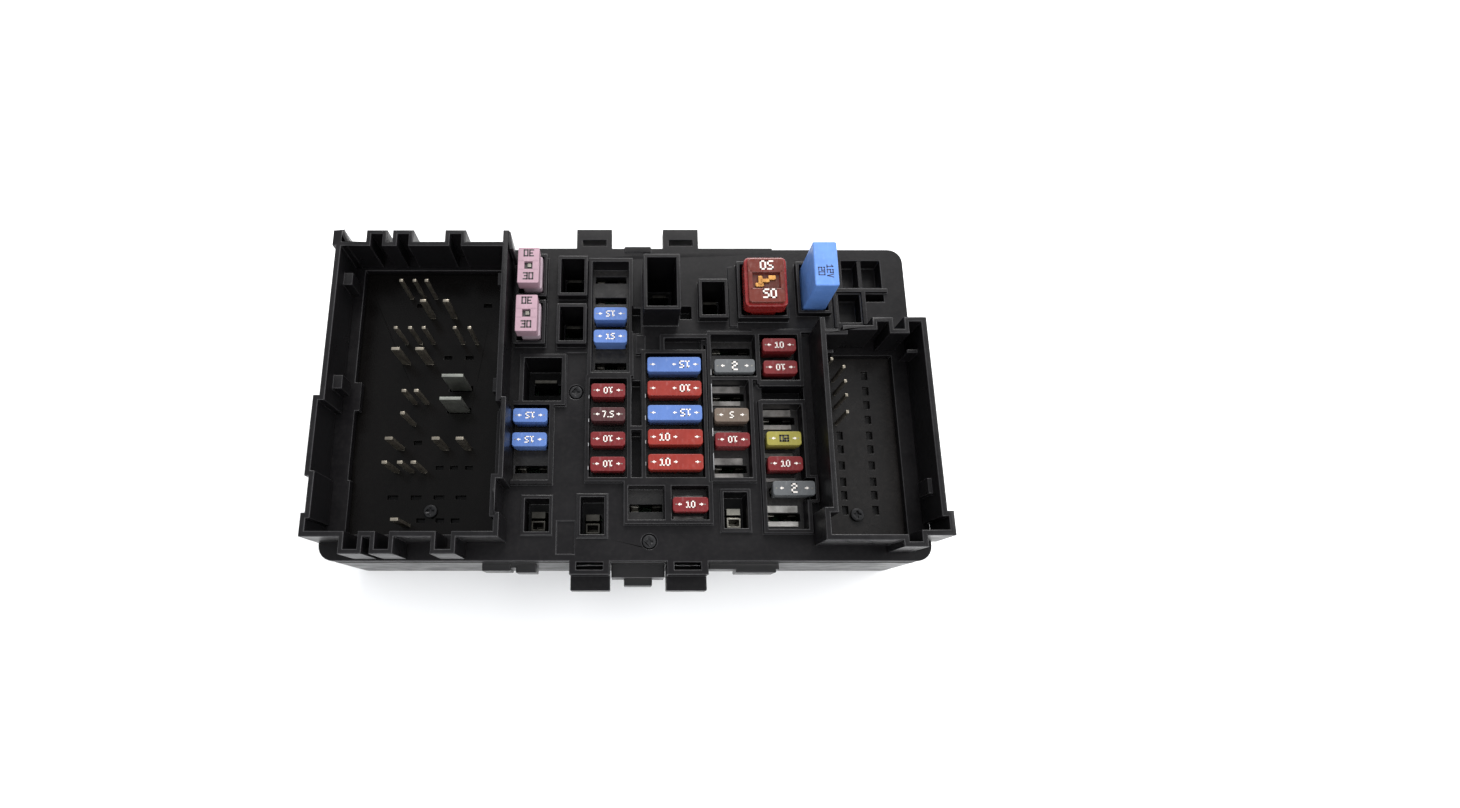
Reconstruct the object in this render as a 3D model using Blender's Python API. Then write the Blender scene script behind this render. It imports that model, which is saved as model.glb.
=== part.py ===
"""Automotive fuse and junction box, modelled as the separate pieces it is assembled from.

Every dimension is in millimetres and is scaled to metres when the meshes are made.
X runs along the length, Y towards the back and Z up. The origin is the centre of the
length and depth, on the underside of the lower case.
"""

import itertools
import math
from typing import NamedTuple

import bmesh
import bpy
from mathutils import Matrix

MM = 0.001
GRID_PLACES = 7  # decimal places of a metre
PARTS, CUTTERS, ROOT = "fuse_box", "fuse_box_cutters", "fuse_box_root"

# Overall body
HALF_LENGTH = 78.4
FRONT, BACK = -43.7, 43.6
DECK_TOP = 28.0
DECK_UNDER = 25.6
CORNER_RADIUS = 4.0
GAP = 0.3  # clearance between two pieces that are assembled face to face

# Lower case and circuit board
CASE_HALF_LENGTH = 76.6
CASE_FRONT, CASE_BACK = -43.9, 43.0
CASE_WALL = 1.6
BOARD_UNDER, BOARD_TOP = 7.4, 9.0

# Connector shrouds
SHROUD_RIM = 41.5
SHROUD_FOOT = DECK_TOP + 0.1
KEY_HEIGHT = (30.0, 37.0)
HEADER_TOP = DECK_UNDER - GAP
HEADER_UNDER = 22.4
PIN_TIP = 37.0
PIN_TAIL = 11.2

# Fuse bays
BAY_FLOOR = 24.0
BAY_FLOOR_UNDER = 21.0
BAY_RIM = 29.6
BAY_WALL = 1.1
SLOT_WIDTH = 2.0
CROWN_TOP = 30.5
FORK_TOP = 20.4

# Deep sockets for cartridge fuses and relays
SOCKET_FLOOR = 17.0
SOCKET_FLOOR_UNDER = 15.5
SOCKET_RIM = 31.0
TALL_SOCKET_RIM = 39.7
ABOVE = TALL_SOCKET_RIM + 2.0  # a cut to this height clears every rim
MALE_BLADE_TIP = 21.5
CONTACT_SHARE = 0.26  # how far from a socket's middle its two contacts stand, as a share of its depth
WIDE_BLADE = (-21.7, 5.1, 6.0)  # the wide socket's one contact: x, y and width
WIDE_BLADE_TIP = 25.0

# Blades
BLADE_THICK = 0.8
FORK_GAP = 0.3
TINE = 0.6
BLADE_TIP = 15.2


# Materials: linear base colour, roughness, metallic
LOOKS = {
    "black_plastic": ((0.022, 0.022, 0.024), 0.45, 0.0),
    "header_plastic": ((0.030, 0.028, 0.026), 0.6, 0.0),
    "board_laminate": ((0.020, 0.090, 0.040), 0.5, 0.0),
    "tinned_metal": ((0.55, 0.55, 0.50), 0.35, 1.0),
    "screw_steel": ((0.06, 0.06, 0.065), 0.4, 1.0),
    "blue_plastic": ((0.16, 0.27, 0.65), 0.3, 0.0),
    "red_plastic": ((0.52, 0.07, 0.06), 0.3, 0.0),
    "brown_plastic": ((0.12, 0.035, 0.035), 0.3, 0.0),
    "tan_plastic": ((0.20, 0.16, 0.12), 0.3, 0.0),
    "grey_plastic": ((0.18, 0.20, 0.22), 0.3, 0.0),
    "yellow_plastic": ((0.48, 0.46, 0.09), 0.3, 0.0),
    "pink_plastic": ((0.58, 0.37, 0.45), 0.45, 0.0),
    "clear_red_plastic": ((0.60, 0.05, 0.04), 0.15, 0.0),
    "relay_blue_plastic": ((0.18, 0.38, 0.80), 0.35, 0.0),
}


class Plug(NamedTuple):
    """A fuse family: the body's size and the blades below it, given as offsets along its long side."""

    length: float
    depth: float
    blades: tuple
    blade_width: float


MICRO2 = Plug(9.1, 3.8, (-2.9, 2.9), 2.2)
MICRO3 = Plug(14.4, 4.2, (-5.2, 0.0, 5.2), 2.2)
MINI = Plug(10.9, 3.8, (-3.9, 3.9), 2.6)


class Bay(NamedTuple):
    """A row of seats on one centre line, in a trough with these inner faces."""

    name: str
    centre: float
    walls_x: tuple
    walls_y: tuple
    seats: tuple


class Seat(NamedTuple):
    """A place for one fuse: the fuse's name and material are empty where no fuse is fitted."""

    y: float
    family: Plug
    fuse: str = ""
    look: str = ""
    shift: float = 0.0


BAYS = (
    Bay("back", -4.0, (-9.1, 1.1), (6.4, 39.1), (
        Seat(36.0, MICRO2),
        Seat(29.5, MICRO2),
        Seat(23.0, MICRO2, "micro2_back_1", "blue_plastic"),
        Seat(16.4, MICRO2, "micro2_back_2", "blue_plastic"),
        Seat(9.9, MICRO2),
    )),
    Bay("left", -25.1, (-29.9, -20.1), (-23.0, -2.7), (
        Seat(-5.9, MICRO2, "micro2_left_1", "blue_plastic"),
        Seat(-12.5, MICRO2, "micro2_left_2", "blue_plastic"),
        Seat(-19.2, MICRO2),
    )),
    Bay("inner", -4.5, (-9.5, 0.5), (-22.4, 4.6), (
        Seat(1.0, MICRO2, "micro2_inner_1", "red_plastic"),
        Seat(-5.6, MICRO2, "micro2_inner_2", "brown_plastic"),
        Seat(-12.3, MICRO2, "micro2_inner_3", "red_plastic"),
        Seat(-19.0, MICRO2, "micro2_inner_4", "red_plastic"),
    )),
    Bay("centre", 13.2, (5.5, 20.9), (-22.4, 11.8), (
        Seat(8.3, MICRO3, "micro3_1", "blue_plastic"),
        Seat(1.6, MICRO3, "micro3_2", "red_plastic"),
        Seat(-5.2, MICRO3, "micro3_3", "blue_plastic"),
        Seat(-11.8, MICRO3, "micro3_4", "red_plastic"),
        Seat(-18.5, MICRO3, "micro3_5", "red_plastic"),
    )),
    Bay("right", 28.2, (23.3, 33.2), (-22.4, 4.2), (
        Seat(0.9, MICRO2),
        Seat(-5.8, MICRO2, "micro2_right_1", "tan_plastic"),
        Seat(-12.5, MICRO2, "micro2_right_2", "red_plastic"),
        Seat(-19.2, MICRO2),
    )),
    Bay("right_back", 29.5, (23.3, 35.4), (5.3, 17.2), (
        Seat(14.2, MINI),
        Seat(7.9, MINI, "mini_1", "grey_plastic"),
    )),
    Bay("far_back", 41.8, (36.6, 47.0), (4.2, 17.2), (
        Seat(13.9, MICRO2, "micro2_far_1", "red_plastic"),
        Seat(7.5, MICRO2, "micro2_far_2", "red_plastic"),
    )),
    Bay("far_front", 41.7, (36.6, 47.0), (-35.8, -2.6), (
        Seat(-5.8, MICRO2),
        Seat(-12.2, MICRO2, "micro2_far_3", "yellow_plastic"),
        Seat(-18.9, MICRO2, "micro2_far_4", "red_plastic"),
        Seat(-25.4, MINI, "mini_2", "grey_plastic", 1.9),
        Seat(-32.0, MICRO2),
    )),
    Bay("front_empty", 5.5, (0.8, 10.2), (-33.4, -24.6), (Seat(-29.6, MICRO2),)),
    Bay("front_filled", 16.8, (12.0, 21.6), (-33.4, -24.6), (
        Seat(-29.6, MICRO2, "micro2_front", "red_plastic"),
    )),
)


class Socket(NamedTuple):
    """A deep box through the deck: its inner size and the height of its rim."""

    name: str
    x: tuple
    y: tuple
    rim: float
    wall: float


SOCKETS = (
    Socket("cartridge_1", (-29.3, -22.5), (28.9, 39.9), SOCKET_RIM, 0.9),
    Socket("cartridge_2", (-29.4, -22.6), (15.0, 26.0), SOCKET_RIM, 0.9),
    Socket("cartridge_3", (-17.7, -11.3), (29.1, 39.3), SOCKET_RIM, 0.9),
    Socket("cartridge_4", (-17.8, -11.4), (15.0, 24.9), SOCKET_RIM, 0.9),
    Socket("cartridge_5", (21.2, 27.5), (22.6, 32.3), SOCKET_RIM, 0.9),
    Socket("main", (31.9, 44.2), (22.4, 37.6), SOCKET_RIM, 0.9),
    Socket("tall", (5.9, 13.7), (21.4, 35.4), TALL_SOCKET_RIM, 1.0),
    Socket("relay", (48.5, 55.9), (24.1, 37.8), SOCKET_RIM - 0.6, 0.9),
    Socket("wide", (-27.2, -17.1), (-1.6, 10.5), BAY_RIM, 1.2),
)

# Cartridge bodies (low-profile fuses in a closed shell) and the relay
CARTRIDGE_BODY = (6.2, 10.4, 37.0)
MAIN_CAP = (11.5, 14.4, 37.0)
MAIN_BODY = (8.2, 13.6, 30.6)
RELAY_BODY = (6.6, 12.9, 45.0)
CARTRIDGE_UNDER = SOCKET_FLOOR + GAP
RELAY_BLADE_TIP = 10.6
RELAY_BLADES = (-3.6, 3.6)
CARTRIDGES = (("cartridge_fuse_1", -25.9, 34.4), ("cartridge_fuse_2", -26.0, 20.5))
MAIN_FUSE = ("main_fuse", 38.05, 30.0)
RELAY = ("relay", 52.2, 30.95)

# Screws that hold the two case halves together
SCREWS = (
    ("screw_1", -13.2, 1.2),
    ("screw_2", 6.2, -38.8),
    ("screw_3", -50.8, -30.7),
    ("screw_4", 60.6, -31.6),
)
SCREW_HEAD_RADIUS = 1.7
SCREW_SHANK_RADIUS = 0.9
BOSS_RADIUS = 2.6

# Contacts in the three small pockets at the front
POCKETS = (
    Socket("front_1", (-25.9, -19.6), (-36.3, -27.8), DECK_TOP + 0.7, 0.9),
    Socket("front_2", (-11.5, -5.4), (-37.0, -27.4), DECK_TOP + 0.7, 0.9),
    Socket("front_3", (25.5, 31.6), (-35.5, -26.2), DECK_TOP + 1.0, 0.9),
)
POCKET_FLOOR = 20.0
POCKET_CONTACT_WIDTH = 3.7
TUBE_DEPTH = 2.7
BLOCK_DEPTH = 1.7


# ---------------------------------------------------------------- scene and materials


def clear_scene():
    for item in list(bpy.data.objects):
        bpy.data.objects.remove(item, do_unlink=True)


def new_collection(name, parent):
    made = bpy.data.collections.new(name)
    parent.children.link(made)
    return made


def material(name):
    """The Principled material for one of the entries in LOOKS, made the first time it is asked for."""
    if name in bpy.data.materials:
        return bpy.data.materials[name]
    colour, roughness, metallic = LOOKS[name]
    made = bpy.data.materials.new(name)
    made.use_nodes = True
    shader = made.node_tree.nodes["Principled BSDF"]
    shader.inputs["Base Color"].default_value = (*colour, 1.0)
    shader.inputs["Roughness"].default_value = roughness
    shader.inputs["Metallic"].default_value = metallic
    made.diffuse_color = (*colour, 1.0)
    return made


# ---------------------------------------------------------------- solid helpers


class Step(NamedTuple):
    """One box, or one upright round bar, that is added to a piece or cut from it."""

    adding: bool
    x: tuple
    y: tuple
    z: tuple
    radius: float = 0.0
    turn: float = 0.0  # degrees about the box's own upright axis


def fill(x, y, z):
    return Step(True, x, y, z)


def cut(x, y, z):
    return Step(False, x, y, z)


def round_step(adding, x, y, radius, z):
    return Step(adding, about(x, 2 * radius), about(y, 2 * radius), z, radius)


def round_uprights(shape, height, radius):
    upright = [edge for edge in shape.edges if abs(edge.verts[0].co.z - edge.verts[1].co.z) > height / 2]
    bmesh.ops.bevel(shape, geom=upright, offset=radius, segments=6, profile=0.5, affect="EDGES")


def primitive(name, step, at, corner=0.0, sides=24):
    """A box or an upright bar. Its corners are snapped to a fine grid, so that faces meant to meet do."""
    spans = (step.x, step.y, step.z)
    size = [(high - low) * MM for low, high in spans]
    centre = [(low + high) / 2 * MM for low, high in spans]
    shape = bmesh.new()
    if step.radius:
        radius = step.radius * MM
        bmesh.ops.create_cone(
            shape, cap_ends=True, segments=sides, radius1=radius, radius2=radius, depth=size[2]
        )
    else:
        bmesh.ops.create_cube(shape, size=1.0)
        bmesh.ops.scale(shape, vec=size, verts=shape.verts)
    if corner:
        round_uprights(shape, size[2], corner * MM)
    turning = Matrix.Rotation(math.radians(step.turn), 3, "Z")
    bmesh.ops.rotate(shape, matrix=turning, verts=shape.verts)
    bmesh.ops.translate(shape, vec=centre, verts=shape.verts)
    for vertex in shape.verts:
        vertex.co = [round(value, GRID_PLACES) for value in vertex.co]
    mesh = bpy.data.meshes.new(name)
    shape.to_mesh(mesh)
    shape.free()
    item = bpy.data.objects.new(name, mesh)
    item.location = (at[0] * MM, at[1] * MM, 0.0)
    return item


def assemble(name, look, steps, at=(0.0, 0.0), corner=0.0):
    """A piece from its steps: the first is the piece's own body, and each run of later ones is a Boolean.

    The steps are measured from the upright axis at this place, which becomes the piece's origin.
    """
    item = primitive(name, steps[0], at, corner)
    item.data.materials.append(material(look))
    bpy.data.collections[PARTS].objects.link(item)
    item.parent = bpy.data.objects[ROOT]
    for index, (adding, group) in enumerate(itertools.groupby(steps[1:], key=lambda step: step.adding)):
        operation = "UNION" if adding else "DIFFERENCE"
        tools = new_collection(f"{name}_{operation.lower()}_{index}", bpy.data.collections[CUTTERS])
        for step in group:
            tool = primitive(f"{tools.name}_tool", step, at)
            tool.hide_render = True
            tool.display_type = "WIRE"
            tools.objects.link(tool)
        modifier = item.modifiers.new(tools.name, "BOOLEAN")
        modifier.operation = operation
        modifier.operand_type = "COLLECTION"
        modifier.collection = tools
        modifier.solver = "EXACT"
    return item


def about(centre, size):
    return (centre - size / 2, centre + size / 2)


def grown(span, by):
    return (span[0] - by, span[1] + by)


# ---------------------------------------------------------------- upper case


def bay_steps(bay):
    """A framed trough with one blade slot for each seat."""
    x, y = bay.walls_x, bay.walls_y
    added = [fill(grown(x, BAY_WALL), grown(y, BAY_WALL), (BAY_FLOOR_UNDER, BAY_RIM))]
    removed = [cut(x, y, (BAY_FLOOR, ABOVE))]
    for seat in bay.seats:
        centre = bay.centre + seat.shift
        if seat.shift:
            wide = (x[0], centre + seat.family.length / 2 + 0.3)
            near = about(seat.y, 5.6)
            added.append(fill(grown(wide, 0.8), grown(near, 0.8), (BAY_FLOOR_UNDER, BAY_RIM)))
            removed.append(cut(wide, near, (BAY_FLOOR, ABOVE)))
        length = seat.family.length - 0.4
        through = (BAY_FLOOR_UNDER - 1.0, BAY_FLOOR + 1.0)
        removed.append(cut(about(centre, length), about(seat.y, SLOT_WIDTH), through))
    return added, removed


def contact_places(socket):
    """Where a socket's blades stand: x, y and width."""
    if socket.name == "wide":
        return [WIDE_BLADE]
    x, y = sum(socket.x) / 2, sum(socket.y) / 2
    reach = (socket.y[1] - socket.y[0]) * CONTACT_SHARE
    return [(x, y - reach, 3.8), (x, y + reach, 3.8)]


def socket_box(socket, floor, under):
    """A socket's walls and its space, as the block to add and the block to cut."""
    walls = fill(grown(socket.x, socket.wall), grown(socket.y, socket.wall), (under, socket.rim))
    return walls, cut(socket.x, socket.y, (floor, ABOVE))


def socket_steps(socket):
    walls, space = socket_box(socket, SOCKET_FLOOR, SOCKET_FLOOR_UNDER)
    through = (SOCKET_FLOOR_UNDER - 1.0, SOCKET_FLOOR + 1.0)
    widest = socket.x[1] - socket.x[0] - 1.2
    holes = [
        cut(about(x, min(widest, width + 2.0)), about(y, 3.0), through)
        for x, y, width in contact_places(socket)
    ]
    return [walls], [space, *holes]


def pocket_steps(pocket):
    """A small socket whose contact comes up through one hole in its floor."""
    walls, space = socket_box(pocket, POCKET_FLOOR, POCKET_FLOOR - 1.5)
    tube, block = pocket_contact_places(pocket)
    depth = (tube - TUBE_DEPTH / 2 - GAP, block + BLOCK_DEPTH / 2 + GAP)
    x = sum(pocket.x) / 2
    hole = cut(about(x, POCKET_CONTACT_WIDTH + 2 * GAP), depth, (POCKET_FLOOR - 2.5, POCKET_FLOOR + 1.0))
    return [walls], [space, hole]


def deck_details():
    """Ribs, steps and shallow pockets on the open parts of the deck."""
    raised = (DECK_UNDER, BAY_RIM)
    added = [
        fill((2.9, 5.5), (11.8, 17.2), (DECK_UNDER, BAY_RIM - 0.4)),
        fill((9.6, 22.4), (16.2, 17.4), raised),
        fill((9.6, 10.7), (11.8, 17.4), raised),
        fill((34.6, 58.4), (17.8, 19.0), raised),
        fill((36.0, 48.1), (2.4, 4.2), raised),
        fill((36.0, 48.1), (-2.6, -1.2), raised),
        fill((-0.6, 5.5), (-23.5, -22.4), raised),
        fill((1.5, 5.5), (-9.7, -8.5), raised),
        fill((-18.9, -9.0), (12.6, 13.6), (DECK_UNDER, DECK_TOP + 0.5)),
        fill((28.8, 31.0), (20.0, 38.0), (DECK_UNDER, DECK_TOP + 0.6)),
        fill((57.8, 58.8), (19.5, 40.5), (DECK_UNDER, DECK_TOP + 0.8)),
        fill((58.8, 73.2), (30.2, 31.4), (DECK_UNDER, DECK_TOP + 0.8)),
        fill((65.8, 66.9), (20.5, 30.2), (DECK_UNDER, DECK_TOP + 0.8)),
    ]
    pockets = (
        ((1.8, 4.2), (-8.5, 4.4)),
        ((1.8, 4.2), (-22.2, -9.8)),
        ((1.9, 4.3), (18.2, 25.6)),
        ((36.8, 48.0), (-1.2, 2.4)),
        ((59.4, 65.4), (21.4, 29.8)),
        ((61.0, 71.9), (31.8, 40.1)),
        ((67.2, 72.2), (27.6, 29.8)),
        ((15.3, 18.4), (22.4, 26.2)),
    )
    depth = 5.0
    removed = []
    for x, y in pockets:
        added.insert(0, fill(grown(x, 1.0), grown(y, 1.0), (DECK_TOP - depth - 1.2, DECK_TOP)))
        removed.append(cut(x, y, (DECK_TOP - depth, ABOVE)))
    removed.append(cut((10.7, 20.8), (12.9, 16.2), (DECK_TOP - 1.5, ABOVE)))
    removed.append(cut((-17.6, -13.0), (-42.0, -33.5), (DECK_TOP - 0.5, ABOVE)))
    removed.append(cut((-31.8, -29.9), (-25.0, -1.0), (DECK_TOP, ABOVE)))
    return added, removed


def header_openings():
    """The holes that the two pin headers look through, stepped like the mouldings around them."""
    through = (DECK_UNDER - 6.0, ABOVE)
    return [
        cut((-73.0, -33.8), (4.0, 37.0), through),
        cut((-71.2, -33.8), (-4.0, 24.0), through),
        cut((-72.4, -34.2), (-22.8, -4.0), through),
        cut((-71.8, -34.2), (-37.0, -22.8), through),
        cut((53.2, 72.6), (-37.0, 11.6), through),
    ]


def tabs():
    """Four slotted mounting ears, two at the back and two boxed in below their slots at the front."""
    ears, slots = [], []
    deck = (DECK_UNDER, DECK_TOP)
    thick = (DECK_UNDER - 1.6, DECK_TOP)
    hook = DECK_UNDER - 9.0
    for left, right in ((-13.7, -3.7), (10.8, 20.8)):
        middle = (left + right) / 2
        ears.append(fill((left, right), (BACK - 2.0, BACK + 6.4), deck))
        ears.append(fill((left, right), (BACK - 0.3, BACK + 6.4), thick))
        slots.append(cut(about(middle, 6.8), (BACK + 1.2, BACK + 3.1), (DECK_UNDER - 3.0, ABOVE)))
    for left, right in ((-14.2, -3.9), (10.7, 21.2)):
        middle = (left + right) / 2
        ears.append(fill((left, right), (FRONT - 3.4, FRONT + 2.0), deck))
        ears.append(fill((left, right), (FRONT - 3.4, FRONT - 0.5), thick))
        ears.append(fill((left, right), (FRONT - 7.0, FRONT - 2.2), (hook, DECK_UNDER - 3.6)))
        ears.append(fill((left, right), (FRONT - 3.4, FRONT - 2.2), (hook, DECK_TOP)))
        ears.append(fill((left, right), (FRONT - 3.4, FRONT - 0.3), (hook, hook + 1.4)))
        ears.append(fill((left, left + 1.2), (FRONT - 3.4, FRONT - 0.3), (hook, DECK_TOP)))
        ears.append(fill((right - 1.2, right), (FRONT - 3.4, FRONT - 0.3), (hook, DECK_TOP)))
        slots.append(cut(about(middle, 6.8), (FRONT - 2.2, FRONT - 0.3), (hook + 1.2, ABOVE)))
    return ears, slots


def upper_case():
    """The moulding with the deck, the fuse bays, the sockets and the mounting ears."""
    deck = [fill((-HALF_LENGTH, HALF_LENGTH), (FRONT, BACK), (DECK_UNDER, DECK_TOP))]
    deck.append(fill((-0.1, 7.3), (BACK - 1.0, BACK + 0.7), (DECK_UNDER, DECK_TOP + 0.4)))
    deck.append(fill((-30.0, 41.8), (BACK - 1.0, BACK + 0.4), (DECK_UNDER, DECK_TOP)))
    details, shallow = deck_details()
    ears, ear_slots = tabs()
    deck += details + ears
    removed = shallow + ear_slots + header_openings()
    for bay in BAYS:
        added, cuts = bay_steps(bay)
        deck += added
        removed += cuts
    for socket in SOCKETS:
        added, cuts = socket_steps(socket)
        deck += added
        removed += cuts
    for pocket in POCKETS:
        added, cuts = pocket_steps(pocket)
        deck += added
        removed += cuts
    for _, x, y in SCREWS[:2]:
        removed.append(round_step(False, x, y, SCREW_SHANK_RADIUS + GAP, (DECK_UNDER - 1.0, DECK_TOP + 1.0)))
        removed.append(round_step(False, x, y, SCREW_HEAD_RADIUS + GAP, (DECK_TOP - 0.9, DECK_TOP + 1.0)))
    divider = [fill((65.5, 66.6), (31.2, 40.6), (DECK_TOP - 5.5, DECK_TOP - 0.2))]
    assemble("upper_case", "black_plastic", deck + removed + divider, corner=CORNER_RADIUS)


# ---------------------------------------------------------------- connector shrouds


def wall_run(x, y):
    return fill(x, y, (SHROUD_FOOT, SHROUD_RIM))


def left_shroud():
    """The wide shroud: its side walls step in and out, and its long walls carry guide channels."""
    walls = [
        wall_run((-78.4, -30.4), (-39.2, -37.8)),
        wall_run((-77.0, -31.1), (37.8, 39.1)),
        wall_run((-77.0, -75.6), (-4.4, 42.5)),
        wall_run((-78.6, -75.6), (-5.0, -3.6)),
        wall_run((-78.6, -77.2), (-23.8, -4.2)),
        wall_run((-78.6, -76.1), (-24.4, -23.0)),
        wall_run((-77.5, -76.1), (-34.2, -23.6)),
        wall_run((-78.5, -76.1), (-34.8, -33.4)),
        wall_run((-78.5, -77.1), (-39.2, -34.0)),
        wall_run((-78.0, -75.6), (38.0, 42.5)),
        wall_run((-32.6, -31.1), (-4.6, 42.5)),
        wall_run((-32.6, -29.9), (-5.2, -4.0)),
        wall_run((-31.2, -29.9), (-24.4, -4.4)),
        wall_run((-32.9, -29.9), (-25.0, -23.8)),
        wall_run((-32.9, -31.6), (-33.8, -24.4)),
        wall_run((-32.9, -30.4), (-34.4, -33.2)),
        wall_run((-31.8, -30.4), (-39.2, -33.8)),
    ]
    channels = []
    for low in (-69.1, -62.1, -48.1):
        walls.append(wall_run((low, low + 5.6), (38.4, 42.5)))
        channels.append(cut((low + 1.3, low + 4.3), (36.8, 41.4), (SHROUD_FOOT - 1.0, ABOVE)))
    for low, high in ((-68.7, -63.0), (-61.2, -55.5), (-46.6, -40.6)):
        walls.append(wall_run((low, high), (-43.3, -38.4)))
        channels.append(cut((low + 1.2, high - 1.2), (-42.1, -36.8), (SHROUD_FOOT - 1.0, ABOVE)))
    keys = [
        fill((-76.3, -73.2), (28.6, 32.2), KEY_HEIGHT),
        fill((-76.3, -73.2), (-0.6, 3.2), KEY_HEIGHT),
        fill((-34.2, -31.9), (28.6, 32.2), KEY_HEIGHT),
        fill((-34.2, -31.9), (-1.4, 2.4), KEY_HEIGHT),
        Step(True, about(-74.5, 1.2), about(40.2, 5.2), (SHROUD_FOOT + 0.2, SHROUD_RIM - 0.2), turn=28.0),
        Step(True, about(-30.7, 1.0), about(39.6, 5.2), (SOCKET_RIM + GAP, SHROUD_RIM - 0.2), turn=10.0),
    ]
    assemble("left_connector_shroud", "black_plastic", walls + keys + channels)


def right_shroud():
    """The narrow shroud, with a stepped back wall and an offset front end."""
    walls = [
        wall_run((50.4, 51.8), (-32.8, 17.4)),
        wall_run((48.3, 51.8), (-33.4, -32.0)),
        wall_run((48.3, 49.7), (-40.0, -32.6)),
        wall_run((76.6, 78.0), (-33.6, 17.5)),
        wall_run((76.6, 79.6), (-34.3, -32.9)),
        wall_run((78.2, 79.6), (-38.9, -33.5)),
        wall_run((48.3, 67.4), (-40.0, -38.6)),
        wall_run((66.8, 68.2), (-41.6, -38.6)),
        wall_run((66.8, 72.7), (-41.6, -40.3)),
        wall_run((71.3, 72.7), (-41.6, -37.5)),
        wall_run((71.3, 79.6), (-38.9, -37.5)),
        wall_run((51.2, 57.4), (12.6, 13.9)),
        wall_run((56.2, 57.4), (12.6, 15.2)),
        wall_run((56.2, 65.2), (13.9, 15.2)),
        wall_run((64.0, 65.2), (13.9, 17.4)),
        wall_run((64.0, 69.4), (16.2, 17.4)),
        wall_run((68.2, 69.4), (12.9, 17.4)),
        wall_run((68.2, 73.4), (12.9, 14.2)),
        wall_run((72.2, 73.4), (12.9, 17.4)),
        wall_run((72.2, 77.2), (16.2, 17.5)),
    ]
    keys = [
        fill((51.2, 54.6), (9.2, 10.2), KEY_HEIGHT),
        fill((73.8, 77.2), (9.2, 10.2), KEY_HEIGHT),
        fill((75.6, 77.2), (-28.0, -24.0), KEY_HEIGHT),
    ]
    assemble("right_connector_shroud", "black_plastic", walls + keys)


# ---------------------------------------------------------------- pin headers


class PinRow(NamedTuple):
    """Pins on one line across a header: the Y of the row, the X of each pin and the blade's width."""

    y: float
    xs: tuple
    width: float


LEFT_PINS = (
    PinRow(29.9, (-60.2, -56.6, -53.4), 1.0),
    PinRow(24.0, (-53.9, -47.8), 1.6),
    PinRow(16.3, (-60.6, -56.8, -53.2, -45.0, -41.1), 1.0),
    PinRow(10.4, (-60.2, -53.9), 2.2),
    PinRow(-1.1, (-57.1, -53.9), 1.2),
    PinRow(-7.1, (-57.0,), 1.2),
    PinRow(-13.8, (-60.0, -48.1, -42.0), 2.0),
    PinRow(-20.0, (-60.6, -56.7, -53.3), 1.4),
    PinRow(-34.4, (-57.0,), 2.0),
)
LEFT_SLOTS = (
    PinRow(27.6, (-57.5, -38.6), 2.2),
    PinRow(12.0, (-48.9, -43.0), 2.2),
    PinRow(-12.2, (-55.6,), 2.2),
    PinRow(-19.0, (-49.3, -45.5, -41.5), 2.0),
    PinRow(-27.0, (-61.1, -55.0, -49.0, -43.2), 2.8),
    PinRow(-33.1, (-53.4, -48.4, -44.4), 2.2),
)
RIGHT_PINS = (
    PinRow(7.6, (54.0,), 0.9),
    PinRow(5.4, (57.0,), 0.9),
    PinRow(1.5, (57.1,), 0.9),
    PinRow(-2.3, (57.1,), 0.9),
    PinRow(-6.8, (57.0,), 0.9),
)
RIGHT_SLOT_YS = (6.8, 2.4, -1.6, -5.8, -10.2, -14.0, -18.4, -22.8, -26.4, -30.4)
POWER_BLADES = (("power_blade_1", -44.8, 3.0), ("power_blade_2", -45.0, -3.2))
POWER_BLADE_WIDTH = 5.6


def pin_blocks(rows, turned):
    """The pins of each row, standing from below the board to the tip height."""
    made = []
    for row in rows:
        for x in row.xs:
            across, along = (BLADE_THICK, row.width) if turned else (row.width, BLADE_THICK)
            made.append(fill(about(x, across), about(row.y, along), (PIN_TAIL, PIN_TIP)))
    return made


def header_steps(x, y, rows, slots, slot_depth=1.1, turned=False):
    """An insulating plate with its pins moulded through it; empty pin places are shallow slots."""
    steps = [fill(x, y, (HEADER_UNDER, HEADER_TOP)), *pin_blocks(rows, turned)]
    shallow = (HEADER_UNDER + 1.4, HEADER_TOP + 1.0)
    for row in slots:
        steps += [cut(about(slot_x, row.width), about(row.y, slot_depth), shallow) for slot_x in row.xs]
    return steps


def left_header():
    through = (HEADER_UNDER - 1.0, HEADER_TOP + 1.0)
    steps = header_steps((-74.4, -33.0), (-38.4, 38.4), LEFT_PINS, LEFT_SLOTS)
    for _, x, y in POWER_BLADES:
        steps.append(cut(about(x, POWER_BLADE_WIDTH + 0.8), about(y, BLADE_THICK + 0.8), through))
    _, x, y = SCREWS[2]
    steps.append(round_step(False, x, y, SCREW_SHANK_RADIUS + GAP, (20.0, 30.0)))
    assemble("left_pin_header", "header_plastic", steps)


def right_header():
    slots = [PinRow(y, (65.7,), 1.6) for y in RIGHT_SLOT_YS]
    slots += [PinRow(y, (57.7,), 1.6) for y in RIGHT_SLOT_YS[4:]]
    steps = header_steps((52.4, 73.4), (-38.0, 12.6), RIGHT_PINS, slots, 2.3, turned=True)
    _, x, y = SCREWS[3]
    steps.append(round_step(False, x, y, SCREW_SHANK_RADIUS + GAP, (20.0, 30.0)))
    assemble("right_pin_header", "header_plastic", steps)


def power_blades():
    for name, x, y in POWER_BLADES:
        thick = about(y, BLADE_THICK)
        foot = fill(about(x, POWER_BLADE_WIDTH + 1.6), thick, (BOARD_TOP + GAP, HEADER_UNDER - GAP))
        blade = fill(about(x, POWER_BLADE_WIDTH), thick, (BOARD_TOP + GAP, PIN_TIP))
        assemble(name, "tinned_metal", [blade, foot])


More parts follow.
